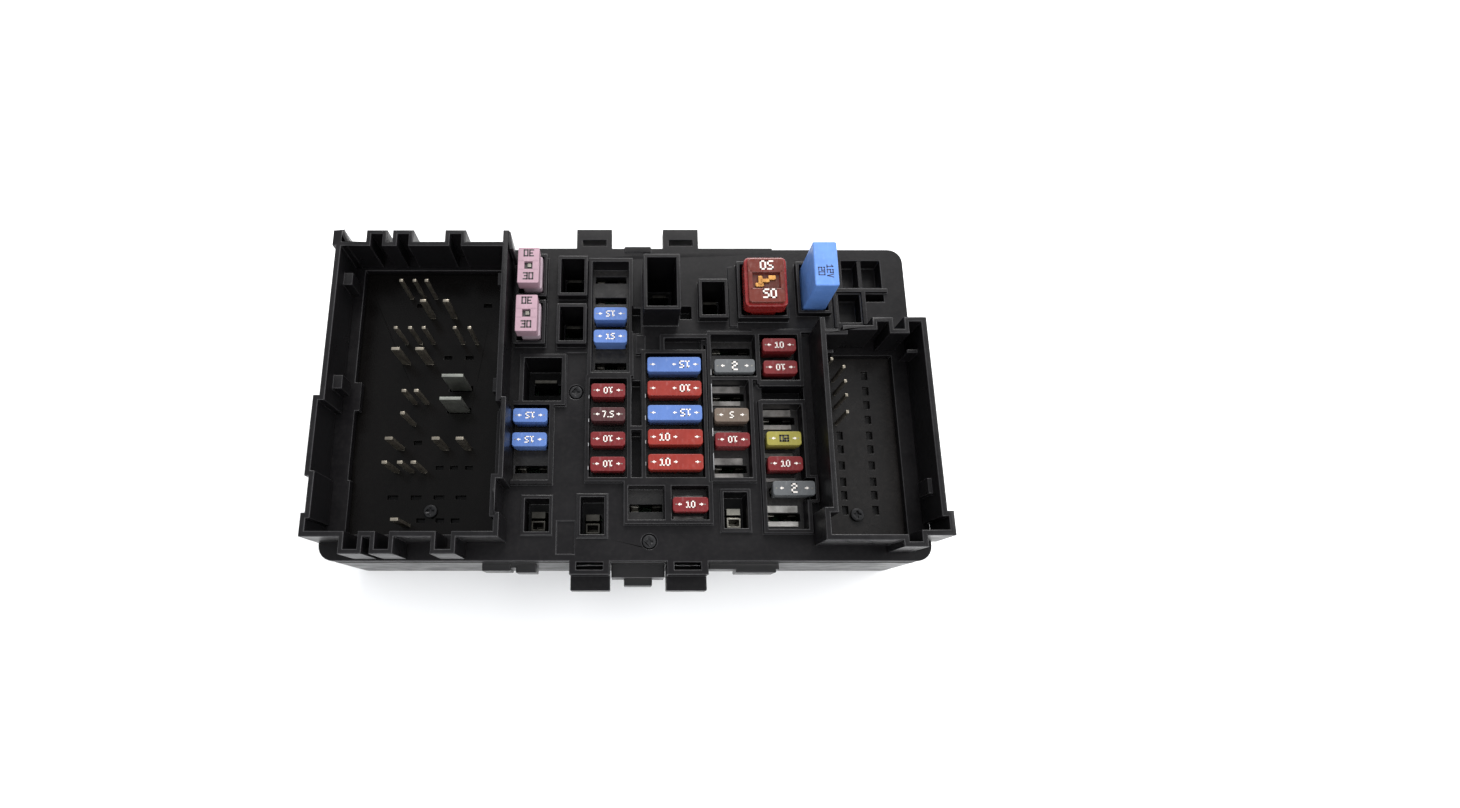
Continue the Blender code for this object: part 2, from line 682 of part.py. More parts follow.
# ---------------------------------------------------------------- lower case, board and terminals


def lower_case():
    """The tub that closes the underside, with latch clips and a strap along its front."""
    length, height = (-CASE_HALF_LENGTH, CASE_HALF_LENGTH), DECK_UNDER - GAP
    depth = (CASE_FRONT, CASE_BACK)
    steps = [
        fill(length, depth, (0.0, height)),
        cut(grown(length, -CASE_WALL), grown(depth, -CASE_WALL), (CASE_WALL, height + 1.0)),
        fill((-70.0, -64.0), (-42.9, -37.0), (CASE_WALL - 0.5, BOARD_UNDER - GAP)),
        fill((64.0, 70.0), (-42.9, -37.0), (CASE_WALL - 0.5, BOARD_UNDER - GAP)),
        fill((-70.0, -64.0), (35.0, 42.0), (CASE_WALL - 0.5, BOARD_UNDER - GAP)),
        fill((64.0, 70.0), (35.0, 42.0), (CASE_WALL - 0.5, BOARD_UNDER - GAP)),
        fill((-36.9, -29.5), (CASE_FRONT - 2.0, CASE_FRONT + 0.8), (18.0, 24.6)),
        fill((-28.2, -22.9), (CASE_FRONT - 2.4, CASE_FRONT + 0.8), (18.0, 24.0)),
        fill((-29.5, -28.2), (CASE_FRONT - 1.2, CASE_FRONT + 0.8), (18.0, 24.0)),
        fill((21.6, 39.8), (CASE_FRONT - 1.6, CASE_FRONT + 0.8), (18.0, 24.4)),
        fill((28.6, 39.0), (CASE_FRONT - 2.4, CASE_FRONT + 0.8), (17.0, 24.4)),
        fill((-3.6, 10.4), (CASE_FRONT - 3.4, CASE_FRONT + 0.8), (12.0, 21.0)),
        fill((-0.3, 7.2), (CASE_FRONT - 5.2, CASE_FRONT + 0.8), (10.0, 16.0)),
    ]
    steps += [round_step(True, x, y, BOSS_RADIUS, (1.0, BOARD_UNDER - GAP)) for _, x, y in SCREWS]
    steps += [round_step(False, x, y, SCREW_SHANK_RADIUS + GAP, (3.0, BOARD_TOP)) for _, x, y in SCREWS]
    assemble("lower_case", "black_plastic", steps, corner=CORNER_RADIUS - 1.0)


def fork_steps(x, y, width, foot=BOARD_UNDER + 0.5, top=FORK_TOP, tip=BLADE_TIP):
    """A tuning-fork terminal, as the post to add and the slot to cut for a blade."""
    slot = BLADE_THICK + 2 * FORK_GAP
    post = fill(about(x, width), about(y, slot + 2 * TINE), (foot, top))
    return post, cut(about(x, width + 1.0), about(y, slot), (tip - 0.6, top + 1.0))


def board_forks():
    """The forks soldered to the board: the relay's, and those for all but the first blade of each seat."""
    forks = []
    for bay in BAYS:
        for seat in bay.seats:
            for offset in seat.family.blades[1:]:
                forks.append(fork_steps(bay.centre + seat.shift + offset, seat.y, seat.family.blade_width))
    for offset in RELAY_BLADES:
        top = SOCKET_FLOOR_UNDER - GAP
        forks.append(fork_steps(RELAY[1], RELAY[2] + offset, 3.2, top=top, tip=RELAY_BLADE_TIP))
    return forks


def male_blades():
    """The blades that stand in the cartridge sockets."""
    steps = []
    for socket in SOCKETS:
        if socket.name == "relay":
            continue
        height = (BOARD_UNDER + 0.5, WIDE_BLADE_TIP if socket.name == "wide" else MALE_BLADE_TIP)
        for x, y, width in contact_places(socket):
            steps.append(fill(about(x, width), about(y, BLADE_THICK), height))
    return steps


def board_clearance():
    """Places where the board is cut away for the screws' bosses."""
    return [round_step(False, x, y, 2.2, (BOARD_UNDER - 1.0, BOARD_TOP + 1.0)) for _, x, y in SCREWS]


def circuit_board():
    board = fill((-74.0, 74.0), (-41.2, 40.4), (BOARD_UNDER, BOARD_TOP))
    posts, slots = zip(*board_forks())
    assemble("circuit_board", "board_laminate", [board, *posts, *male_blades(), *slots, *board_clearance()])


def bus_bars():
    """One strip for each bay, feeding the first blade of every seat."""
    for bay in BAYS:
        first = [(bay.centre + s.shift + s.family.blades[0], s.y, s.family.blade_width) for s in bay.seats]
        rail_x = min(x for x, _, _ in first)
        base = (BOARD_TOP + GAP, BOARD_TOP + 3.0)
        rail = fill(about(rail_x, 1.2), (bay.seats[-1].y - 1.4, bay.seats[0].y + 1.4), base)
        links = [fill((rail_x - 0.4, x), about(y, 1.0), grown(base, -0.2)) for x, y, _ in first if x > rail_x]
        posts, slots = zip(*[fork_steps(x, y, width, foot=BOARD_TOP + GAP) for x, y, width in first])
        assemble("bus_" + bay.name, "tinned_metal", [rail, *posts, *links, *slots])


def pocket_contact_places(pocket):
    """How far back a pocket's square tube and the block behind it stand."""
    tube = pocket.y[0] + 2.0
    return tube, tube + 2.9


def pocket_contacts():
    """Small contacts in the three front pockets: an open square tube with a solid block behind it."""
    for pocket in POCKETS:
        x = about(sum(pocket.x) / 2, POCKET_CONTACT_WIDTH)
        tube, block = pocket_contact_places(pocket)
        foot = fill(x, (tube - TUBE_DEPTH / 2, block + BLOCK_DEPTH / 2), (BOARD_TOP + GAP, BOARD_TOP + 2.0))
        tall = (BOARD_TOP + GAP, 24.0)
        steps = [
            foot,
            fill(x, about(tube, TUBE_DEPTH), tall),
            fill(x, about(block, BLOCK_DEPTH), tall),
            cut(grown(x, -0.5), about(tube, TUBE_DEPTH - 1.0), (16.0, 25.0)),
        ]
        assemble("contact_" + pocket.name, "tinned_metal", steps)


def screws():
    for index, (name, x, y) in enumerate(SCREWS):
        seat = DECK_TOP - 0.8 if index < 2 else HEADER_TOP + 0.1
        head = round_step(True, x, y, SCREW_HEAD_RADIUS, (seat, seat + 0.8))
        shank = round_step(True, x, y, SCREW_SHANK_RADIUS, (3.6, seat + 0.4))
        recess = (seat + 0.3, seat + 1.5)
        cross = [cut(about(x, 1.9), about(y, 0.5), recess), cut(about(x, 0.5), about(y, 1.9), recess)]
        assemble(name, "screw_steel", [head, shank, *cross])


# ---------------------------------------------------------------- plug-in pieces


def blade_fuse(name, look, at, family):
    """A fuse with a wide crown, a slightly smaller body and flat blades below."""
    floor = BAY_FLOOR + GAP
    body = (family.length - 0.6, family.depth - 0.6)
    steps = [
        fill(about(0.0, family.length), about(0.0, family.depth), (CROWN_TOP - 2.6, CROWN_TOP)),
        fill(about(0.0, body[0]), about(0.0, body[1]), (floor, CROWN_TOP - 1.0)),
    ]
    for offset in family.blades:
        width = about(offset, family.blade_width)
        steps.append(fill(width, about(0.0, BLADE_THICK), (BLADE_TIP, floor + 1.0)))
    assemble(name, look, steps, at)


def blade_pockets(socket, at):
    """The two slots in a cartridge's underside that take the socket's male blades."""
    depth = (CARTRIDGE_UNDER - 1.0, MALE_BLADE_TIP + 1.0)
    width = about(0.0, 4.4)
    return [cut(width, about(y - at[1], BLADE_THICK + 0.6), depth) for _, y, _ in contact_places(socket)]


def cartridge_fuses():
    for (name, *at), socket in zip(CARTRIDGES, SOCKETS[:2]):
        length, depth, top = CARTRIDGE_BODY
        steps = [fill(about(0.0, length), about(0.0, depth), (CARTRIDGE_UNDER, top))]
        steps += blade_pockets(socket, at)
        steps.append(cut(about(0.0, 2.2), about(0.0, 2.2), (top - 1.0, top + 1.0)))
        assemble(name, "pink_plastic", steps, at)


def main_fuse():
    name, *at = MAIN_FUSE
    cap, body = MAIN_CAP, MAIN_BODY
    steps = [
        fill(about(0.0, cap[0]), about(0.0, cap[1]), (body[2], cap[2])),
        fill(about(0.0, body[0]), about(0.0, body[1]), (CARTRIDGE_UNDER, body[2] + 1.0)),
    ]
    assemble(name, "clear_red_plastic", steps + blade_pockets(SOCKETS[5], at), at)


def relay():
    name, *at = RELAY
    length, depth, top = RELAY_BODY
    steps = [fill(about(0.0, length), about(0.0, depth), (CARTRIDGE_UNDER, top))]
    for offset in RELAY_BLADES:
        height = (RELAY_BLADE_TIP, CARTRIDGE_UNDER + 1.0)
        steps.append(fill(about(0.0, 2.8), about(offset, BLADE_THICK), height))
    assemble(name, "relay_blue_plastic", steps, at)


def plug_ins():
    for bay in BAYS:
        for seat in bay.seats:
            if seat.fuse:
                blade_fuse(seat.fuse, seat.look, (bay.centre + seat.shift, seat.y), seat.family)
    cartridge_fuses()
    main_fuse()
    relay()


def start_scene():
    clear_scene()
    parts = new_collection(PARTS, bpy.context.scene.collection)
    new_collection(CUTTERS, bpy.context.scene.collection)
    parts.objects.link(bpy.data.objects.new(ROOT, None))


def main():
    start_scene()
    upper_case()
    left_shroud()
    right_shroud()
    lower_case()
    left_header()
    right_header()
    power_blades()
    circuit_board()
    bus_bars()
    pocket_contacts()
    screws()
    plug_ins()


main()
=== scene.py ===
"""The fuse box's finished look: materials, plug-in pieces, floor, lights and camera around the CAD frame."""

import math
from collections import namedtuple

import bmesh
import bpy
from mathutils import Matrix, Vector


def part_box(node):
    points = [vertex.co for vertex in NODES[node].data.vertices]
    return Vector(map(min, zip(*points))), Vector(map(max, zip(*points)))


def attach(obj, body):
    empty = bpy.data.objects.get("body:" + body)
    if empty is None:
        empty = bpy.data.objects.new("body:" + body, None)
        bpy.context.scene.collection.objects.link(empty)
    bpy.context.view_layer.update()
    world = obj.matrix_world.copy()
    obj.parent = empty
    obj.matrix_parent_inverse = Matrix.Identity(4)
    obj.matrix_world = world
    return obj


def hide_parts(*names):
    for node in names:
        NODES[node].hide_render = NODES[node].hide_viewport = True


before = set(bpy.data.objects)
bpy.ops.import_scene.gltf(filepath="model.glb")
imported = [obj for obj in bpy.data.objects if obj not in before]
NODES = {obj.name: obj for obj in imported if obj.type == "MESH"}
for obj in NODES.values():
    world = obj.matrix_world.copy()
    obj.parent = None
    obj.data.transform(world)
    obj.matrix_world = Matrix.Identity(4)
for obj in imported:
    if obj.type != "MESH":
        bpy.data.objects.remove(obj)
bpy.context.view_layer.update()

MM = 0.001

# What tells a CAD node's faces apart: heights in millimetres, and how far up a normal points
HEADER_FACE = 25.35  # above this height a header's faces are its pins
HEADER_BACK = 22.35  # and below this one too
BOARD_FACE = 9.05
BAY_FLOOR = 24.0
SAME_HEIGHT = 0.05
FACING_UP = 0.9

# ---------------------------------------------------------------- looks, with linear colours

# Glossy coloured nylon: colour, roughness and, where it is clearer, a glossy coat
COLOURED_PLASTICS = {
    "blue_plastic": ((0.083, 0.158, 0.40), 0.34),
    "red_plastic": ((0.135, 0.010, 0.012), 0.34),
    "wide_red": ((0.225, 0.021, 0.014), 0.34),
    "brown_plastic": ((0.055, 0.016, 0.018), 0.36),
    "tan_plastic": ((0.12, 0.09, 0.07), 0.38),
    "grey_plastic": ((0.095, 0.10, 0.105), 0.38),
    "yellow_plastic": ((0.26, 0.23, 0.045), 0.36),
    "pink_plastic": ((0.36, 0.235, 0.28), 0.46),
    "pink_body": ((0.36, 0.28, 0.32), 0.36),
    "relay_blue_plastic": ((0.105, 0.228, 0.57), 0.36),
    "clear_red": ((0.20, 0.011, 0.010), 0.20, 0.3),
    "smoky_red": ((0.120, 0.022, 0.014), 0.16, 0.3),
    "amber": ((0.085, 0.016, 0.008), 0.12, 0.5),
}
COLOURED_SPECULAR = 0.28

# Moulded black plastic: base and dusty colours, roughness, dust, specular
MOULDED_PLASTICS = {
    "housing": ((0.0034, 0.0031, 0.0036), (0.018, 0.016, 0.016), 0.38, 0.22, 0.16),
    "shroud": ((0.0042, 0.0039, 0.0044), (0.022, 0.020, 0.021), 0.34, 0.20, 0.18),
    # painted highlight: a pale copy of the black plastic that the rounded edges of the cases and shrouds
    # take, standing in for the sheen along them
    "painted_edge_highlight": ((0.014, 0.0135, 0.0145), (0.045, 0.043, 0.044), 0.28, 0.3, 0.25),
    "lower": ((0.0045, 0.0043, 0.0045), (0.022, 0.020, 0.020), 0.34, 0.1, 0.32),
    # painted light: the bay floors' colours are several times lighter than the housing's, standing in for the
    # light their upward faces catch; the specks on them are dust
    "painted_lit_floor": ((0.014, 0.013, 0.013), (0.05, 0.046, 0.042), 0.26, 0.4, 0.35),
    "header": ((0.0024, 0.0021, 0.0020), (0.010, 0.009, 0.008), 0.20, 0.1, 0.10),
    "pale_header": ((0.0085, 0.0078, 0.0076), (0.024, 0.021, 0.019), 0.24, 0.3, 0.2),
}

# How much finer texture is along X, Y and Z, so a small number draws it out along that direction
DRAWN_ALONG_X = (0.12, 1.0, 1.0)
DRAWN_ALONG_Y = (1.0, 0.35, 1.0)
DRAWN_ALONG_Z = (1.0, 1.0, 0.06)
ACROSS_SHELF = (9.0, 0.4, 1.0)

# Sheet metal: bright and dull colours and roughness, then metallic, scratches and relief where they differ
METALS = {
    "tin": dict(bright=(0.36, 0.345, 0.30), dull=(0.17, 0.16, 0.14), roughness=0.30),
    "pin": dict(
        bright=(0.27, 0.245, 0.20), dull=(0.15, 0.135, 0.11), roughness=0.32, metallic=0.86, relief=0.04
    ),
    "power": dict(
        bright=(0.27, 0.28, 0.25), dull=(0.17, 0.175, 0.16), roughness=0.34, metallic=0.78, relief=0.06
    ),
    # Dark metal for the board's posts, and for the two front pockets' contacts, where it is painted shade:
    # tinned contacts drawn dark for the shade deep in their pockets
    "contact": dict(bright=(0.065, 0.062, 0.055), dull=(0.030, 0.028, 0.024), roughness=0.30),
    "steel": dict(bright=(0.020, 0.020, 0.021), dull=(0.009, 0.009, 0.010), roughness=0.38, metallic=0.7),
    "element": dict(bright=(0.50, 0.27, 0.085), dull=(0.20, 0.09, 0.03), roughness=0.36),
    # painted sheen: the seat ledges drawn pale to stand in for the light on their tops, and the front seat's
    # pair drawn paler still, a stronger painted highlight
    "sheen_ledge": dict(
        bright=(0.40, 0.38, 0.36),
        dull=(0.10, 0.095, 0.09),
        roughness=0.32,
        metallic=0.35,
        scratch=ACROSS_SHELF,
    ),
    "bright_sheen_ledge": dict(
        bright=(0.80, 0.78, 0.74),
        dull=(0.28, 0.27, 0.25),
        roughness=0.3,
        metallic=0.2,
        scratch=ACROSS_SHELF,
    ),
    # painted glint: a pale, glossy copy used only for the thin slivers on the bays' rims
    "rubbed_and_glint": dict(bright=(0.46, 0.46, 0.47), dull=(0.16, 0.16, 0.165), roughness=0.30, metallic=0.2),
}

INKS = {
    "white_ink": (0.66, 0.62, 0.58),
    "blue_ink": (0.01, 0.025, 0.09),
    "black_ink": (0.02, 0.018, 0.018),
}

BOARD_MASK = ((0.010, 0.060, 0.022, 1.0), (0.013, 0.072, 0.028, 1.0))
BOARD_TRACK = (0.030, 0.120, 0.045, 1.0)
TRACK_WIDTH = 0.06

# A surface's second colour as a share of its first, and how far wear lifts it towards white
MOTTLE_SHARE = 1.4
CLOUD_SHARE = 0.80
WORN_SHARE, WORN_LIFT = 0.93, 0.035
THIN_INK_SHARE, THIN_INK_LIFT = 0.72, 0.01

# The most that wear covers a surface
RUBBED_COVER = 0.45  # as a share of the dust
SCUFF_COVER = 0.8
INK_BREAK_COVER = 0.5

# How far roughness goes below and above its middle value, or between which values it lies
MOULDED_FINISH = (-0.08, 0.10)
GLOSSY_FINISH = (-0.06, 0.12)
METAL_FINISH = (-0.08, 0.14)
INK_FINISH = (0.42, 0.6)
BOARD_FINISH = (0.3, 0.5)
FLOOR_FINISH = (0.62, 0.72)

# Sizes of texture, in features to the metre
MOTTLE = 55.0
SWELL = 70.0
GLOSS_PATCHES = 160.0
CLOUDS = 210.0
BLOOM = 260.0
STREAKS = 420.0
HANDLING = 700.0
DUST_SPECKS = 900.0
SCUFFS = 1500.0
INK_GLOSS = 1800.0
INK_BREAKS = 2400.0
FLOW_MARKS = 2600.0
GRAIN = 3200.0
DRAWN_LINES = 5200.0
BOARD_TRACKS = 90.0
BOARD_GLOSS = 300.0
FLOOR_TINT = 3.0
FLOOR_GLOSS = 30.0

# Strengths of relief, and its depths in metres
SWELL_STRENGTH = 0.25
GRAIN_STRENGTH = 0.16
FLOW_STRENGTH = 0.10
DRAWN_STRENGTH = 0.18
TRACK_STRENGTH = 0.2
MOULDED_RELIEF = 0.00012
GLOSSY_RELIEF = 0.00008
METAL_RELIEF = 0.00005
BOARD_RELIEF = 0.00005

# Inputs and output of a colour Mix node
MIX_FIRST = 6
MIX_SECOND = 7
MIX_RESULT = 2


def new_material(name):
    made = bpy.data.materials.new(name)
    made.use_nodes = True
    return made, made.node_tree.nodes, made.node_tree.links


def noise(nodes, links, scale, detail=3.0, stretch=None):
    """Noise in the piece's own space, at this many features to the metre."""
    place = nodes.new("ShaderNodeTexCoord")
    texture = nodes.new("ShaderNodeTexNoise")
    texture.inputs["Scale"].default_value = scale
    texture.inputs["Detail"].default_value = detail
    source = place.outputs["Object"]
    if stretch:
        mapping = nodes.new("ShaderNodeMapping")
        mapping.inputs["Scale"].default_value = stretch
        links.new(source, mapping.inputs["Vector"])
        source = mapping.outputs["Vector"]
    links.new(source, texture.inputs["Vector"])
    return texture.outputs["Fac"]


def remap(nodes, links, value, low, high, start=0.3, end=0.7):
    """Takes a value from the range start to end, and spreads it from low to high."""
    node = nodes.new("ShaderNodeMapRange")
    node.inputs["From Min"].default_value = start
    node.inputs["From Max"].default_value = end
    node.inputs["To Min"].default_value = low
    node.inputs["To Max"].default_value = high
    links.new(value, node.inputs["Value"])
    return node.outputs["Result"]


def blend_colours(nodes, links, factor, first, second):
    """Mixes two colours, each given as a colour or as another node's output."""
    node = nodes.new("ShaderNodeMix")
    node.data_type = "RGBA"
    links.new(factor, node.inputs["Factor"])
    for socket, colour in ((node.inputs[MIX_FIRST], first), (node.inputs[MIX_SECOND], second)):
        if isinstance(colour, tuple):
            socket.default_value = (*colour, 1.0)
        else:
            links.new(colour, socket)
    return node.outputs[MIX_RESULT]


def add_relief(nodes, links, shader, layers, distance):
    """Bump from layers of noise, each given as its output and its strength, over the same depth."""
    before = None
    for height, strength in layers:
        bump = nodes.new("ShaderNodeBump")
        bump.inputs["Strength"].default_value = strength
        bump.inputs["Distance"].default_value = distance
        links.new(height, bump.inputs["Height"])
        if before:
            links.new(before, bump.inputs["Normal"])
        before = bump.outputs["Normal"]
    links.new(before, shader.inputs["Normal"])


def upward(nodes, links):
    """1 on faces that look up, where dust settles, and 0 on walls."""
    geometry = nodes.new("ShaderNodeNewGeometry")
    parts = nodes.new("ShaderNodeSeparateXYZ")
    links.new(geometry.outputs["Normal"], parts.inputs["Vector"])
    return remap(nodes, links, parts.outputs["Z"], 0.0, 1.0, start=0.6, end=0.98)


def times(nodes, links, first, second):
    node = nodes.new("ShaderNodeMath")
    node.operation = "MULTIPLY"
    links.new(first, node.inputs[0])
    links.new(second, node.inputs[1])
    return node.outputs[0]


def shade_of(colour, share, lift=0.0):
    """This share of a colour, lifted towards white."""
    return tuple(share * channel + lift for channel in colour)


def vary_roughness(nodes, links, shader, value, roughness, finish):
    """Roughness that follows a value, from below to above its middle."""
    below, above = finish
    varied = remap(nodes, links, value, roughness + below, roughness + above)
    links.new(varied, shader.inputs["Roughness"])


def moulded(name, base, pale, roughness, dust, specular):
    """Moulded black plastic: mottled, finely grained, with dust on what faces up and faint pale streaks of
    wear.
    """
    made, nodes, links = new_material(name)
    shader = nodes["Principled BSDF"]
    shader.inputs["Specular IOR Level"].default_value = specular
    mottle = remap(nodes, links, noise(nodes, links, MOTTLE, detail=4.0), 0.0, 1.0)
    body = blend_colours(nodes, links, mottle, base, shade_of(base, MOTTLE_SHARE))
    specks = noise(nodes, links, DUST_SPECKS, detail=6.0)
    dusted = remap(nodes, links, specks, 0.0, dust, start=0.45, end=0.75)
    settled = times(nodes, links, dusted, upward(nodes, links))
    dusty = blend_colours(nodes, links, settled, body, pale)
    streaks = noise(nodes, links, STREAKS, detail=5.0, stretch=DRAWN_ALONG_X)
    rubbed_and_glint = remap(nodes, links, streaks, 0.0, RUBBED_COVER * dust, start=0.60, end=0.78)
    colour = blend_colours(nodes, links, rubbed_and_glint, dusty, pale)
    links.new(colour, shader.inputs["Base Color"])
    patches = noise(nodes, links, GLOSS_PATCHES, detail=5.0)
    vary_roughness(nodes, links, shader, patches, roughness, MOULDED_FINISH)
    grain = noise(nodes, links, GRAIN, detail=2.0)
    swell = noise(nodes, links, SWELL, detail=2.0)
    layers = ((swell, SWELL_STRENGTH), (grain, GRAIN_STRENGTH))
    add_relief(nodes, links, shader, layers, MOULDED_RELIEF)
    return made


def coloured_plastic(name, colour, roughness, coat=0.0):
    """Glossy coloured nylon: slightly cloudy, a little paler where handled, with fine flow marks."""
    made, nodes, links = new_material(name)
    shader = nodes["Principled BSDF"]
    shader.inputs["Coat Weight"].default_value = coat
    shader.inputs["Specular IOR Level"].default_value = COLOURED_SPECULAR
    cloud = remap(nodes, links, noise(nodes, links, CLOUDS, detail=4.0), 0.0, 1.0)
    body = blend_colours(nodes, links, cloud, shade_of(colour, CLOUD_SHARE), colour)
    marks = noise(nodes, links, SCUFFS, detail=5.0, stretch=DRAWN_ALONG_Y)
    scuffs = remap(nodes, links, marks, 0.0, SCUFF_COVER, start=0.55, end=0.75)
    surface = blend_colours(nodes, links, scuffs, body, shade_of(colour, WORN_SHARE, WORN_LIFT))
    links.new(surface, shader.inputs["Base Color"])
    patches = noise(nodes, links, HANDLING, detail=4.0)
    vary_roughness(nodes, links, shader, patches, roughness, GLOSSY_FINISH)
    flow = noise(nodes, links, FLOW_MARKS, detail=2.0)
    add_relief(nodes, links, shader, ((flow, FLOW_STRENGTH),), GLOSSY_RELIEF)
    return made


def metal(name, bright, dull, roughness, metallic=1.0, scratch=DRAWN_ALONG_Z, relief=DRAWN_STRENGTH):
    """Plated sheet metal with a dull bloom and drawn scratches along one direction."""
    made, nodes, links = new_material(name)
    shader = nodes["Principled BSDF"]
    shader.inputs["Metallic"].default_value = metallic
    bloom = remap(nodes, links, noise(nodes, links, BLOOM, detail=5.0), 0.0, 1.0)
    links.new(blend_colours(nodes, links, bloom, dull, bright), shader.inputs["Base Color"])
    lines = noise(nodes, links, DRAWN_LINES, detail=3.0, stretch=scratch)
    vary_roughness(nodes, links, shader, lines, roughness, METAL_FINISH)
    add_relief(nodes, links, shader, ((lines, relief),), METAL_RELIEF)
    return made


def ink(name, colour):
    """Printed characters: slightly broken and uneven."""
    made, nodes, links = new_material(name)
    shader = nodes["Principled BSDF"]
    breaks = noise(nodes, links, INK_BREAKS, detail=4.0)
    patchy = remap(nodes, links, breaks, 0.0, INK_BREAK_COVER, start=0.5, end=0.8)
    thin = shade_of(colour, THIN_INK_SHARE, THIN_INK_LIFT)
    links.new(blend_colours(nodes, links, patchy, colour, thin), shader.inputs["Base Color"])
    finish = remap(nodes, links, noise(nodes, links, INK_GLOSS), *INK_FINISH)
    links.new(finish, shader.inputs["Roughness"])
    return made


def laminate(name):
    """Circuit board: green mask with copper tracks showing faintly through it."""
    made, nodes, links = new_material(name)
    shader = nodes["Principled BSDF"]
    tracks = nodes.new("ShaderNodeTexBrick")
    tracks.inputs["Scale"].default_value = BOARD_TRACKS
    tracks.inputs["Mortar Size"].default_value = TRACK_WIDTH
    tracks.inputs["Color1"].default_value = BOARD_MASK[0]
    tracks.inputs["Color2"].default_value = BOARD_MASK[1]
    tracks.inputs["Mortar"].default_value = BOARD_TRACK
    place = nodes.new("ShaderNodeTexCoord")
    links.new(place.outputs["Object"], tracks.inputs["Vector"])
    links.new(tracks.outputs["Color"], shader.inputs["Base Color"])
    finish = remap(nodes, links, noise(nodes, links, BOARD_GLOSS), *BOARD_FINISH)
    links.new(finish, shader.inputs["Roughness"])
    add_relief(nodes, links, shader, ((tracks.outputs["Fac"], TRACK_STRENGTH),), BOARD_RELIEF)
    return made


def make_materials():
    made = {name: coloured_plastic(name, *look) for name, look in COLOURED_PLASTICS.items()}
    made.update({name: moulded(name, *look) for name, look in MOULDED_PLASTICS.items()})
    made.update({name: metal(name, **look) for name, look in METALS.items()})
    made.update({name: ink(name, colour) for name, colour in INKS.items()})
    made["laminate"] = laminate("laminate")
    return made


MATERIALS = make_materials()


# ---------------------------------------------------------------- CAD nodes kept as they are

WELD_DISTANCE = 1e-6
SHARP_CORNER = math.radians(40.0)  # edges that turn more than this are rounded
MOST_WEIGHT = 100

# How far each kind of node's edges are rounded, in millimetres
CASE_EDGE = 0.2
TUB_EDGE = 0.25
SHROUD_EDGE = 0.24
HEADER_EDGE = 0.12
METAL_EDGE = 0.1
BOARD_EDGE = 0.05


def soften(node, width, edge_slot):
    """Rounds the edges as a mould would, and gives the rounded edges the material in this slot."""
    weld = node.modifiers.new("weld", "WELD")
    weld.merge_threshold = WELD_DISTANCE
    bevel = node.modifiers.new("edges", "BEVEL")
    bevel.width = width * MM
    bevel.segments = 2
    bevel.limit_method = "ANGLE"
    bevel.angle_limit = SHARP_CORNER
    bevel.use_clamp_overlap = False
    bevel.material = edge_slot
    node.data.shade_smooth()
    normals = node.modifiers.new("normals", "WEIGHTED_NORMAL")
    normals.mode = "FACE_AREA_WITH_ANGLE"
    normals.weight = MOST_WEIGHT


def dress(name, materials, width, choose=None, edge_slot=-1):
    """Gives a CAD node its materials; choose says which one a face takes, from its centre and normal."""
    node = NODES[name]
    node.data.materials.clear()
    for material in materials:
        node.data.materials.append(MATERIALS[material])
    for face in node.data.polygons:
        face.material_index = choose(face.center / MM, face.normal) if choose else 0
    soften(node, width, edge_slot)
    return node


def pins_or_plate(centre, normal):
    return int(centre.z > HEADER_FACE or centre.z < HEADER_BACK)


def board_or_posts(centre, normal):
    return int(centre.z > BOARD_FACE)


# Picks the bay floors, which take the lighter floor copy as painted light
def floor_or_frame(centre, normal):
    return int(normal.z > FACING_UP and abs(centre.z - BAY_FLOOR) < SAME_HEIGHT)


def dress_cases():
    # The rounded edges of the case and shrouds take the pale edge material, a painted highlight along them
    upper = dress("upper_case", ["housing", "painted_lit_floor", "painted_edge_highlight"], CASE_EDGE, floor_or_frame, edge_slot=2)
    dress("lower_case", ["lower"], TUB_EDGE)
    for name in ("left_connector_shroud", "right_connector_shroud"):
        shroud = dress(name, ["shroud", "painted_edge_highlight"], SHROUD_EDGE, edge_slot=1)


def dress_headers():
    for name, plate in (("left_pin_header", "header"), ("right_pin_header", "pale_header")):
        header = dress(name, [plate, "pin"], HEADER_EDGE, pins_or_plate)


def dress_metal():
    """The power blades, pocket contacts, bus bars and screws."""
    for name in NODES:
        if name.startswith("power_blade"):
            dress(name, ["power"], METAL_EDGE)
        # The two front pockets' contacts take the dark metal, painted shade of their deep pockets
        elif name in ("contact_front_1", "contact_front_2"):
            dress(name, ["contact"], METAL_EDGE)
        elif name.startswith(("bus_", "contact_")):
            dress(name, ["tin"], METAL_EDGE)
        elif name.startswith("screw_"):
            dress(name, ["steel"], METAL_EDGE)


def dress_frame():
    dress_cases()
    dress_headers()
    dress("circuit_board", ["laminate", "contact"], BOARD_EDGE, board_or_posts)
    dress_metal()


# ---------------------------------------------------------------- building blocks, in millimetres

CORNER_SEGMENTS = 5
EDGE_SEGMENTS = 3
PIECE_CORNER = math.radians(50.0)  # edges that turn more than this are rounded on a new piece
FLAT_SHADED = math.radians(30.0)  # and past this they stay sharp where none are rounded

# A CAD node's middle in X and Y, its length and depth, and its lowest and highest Z
Place = namedtuple("Place", "at length depth low top")


def place_of(node):
    low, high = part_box(node)
    middle = (Vector(low) + Vector(high)) / 2 / MM
    length = (high[0] - low[0]) / MM
    depth = (high[1] - low[1]) / MM
    return Place((middle.x, middle.y), length, depth, low[2] / MM, high[2] / MM)


def about(centre, size):
    """The span of this size around a centre."""
    return centre - size / 2, centre + size / 2


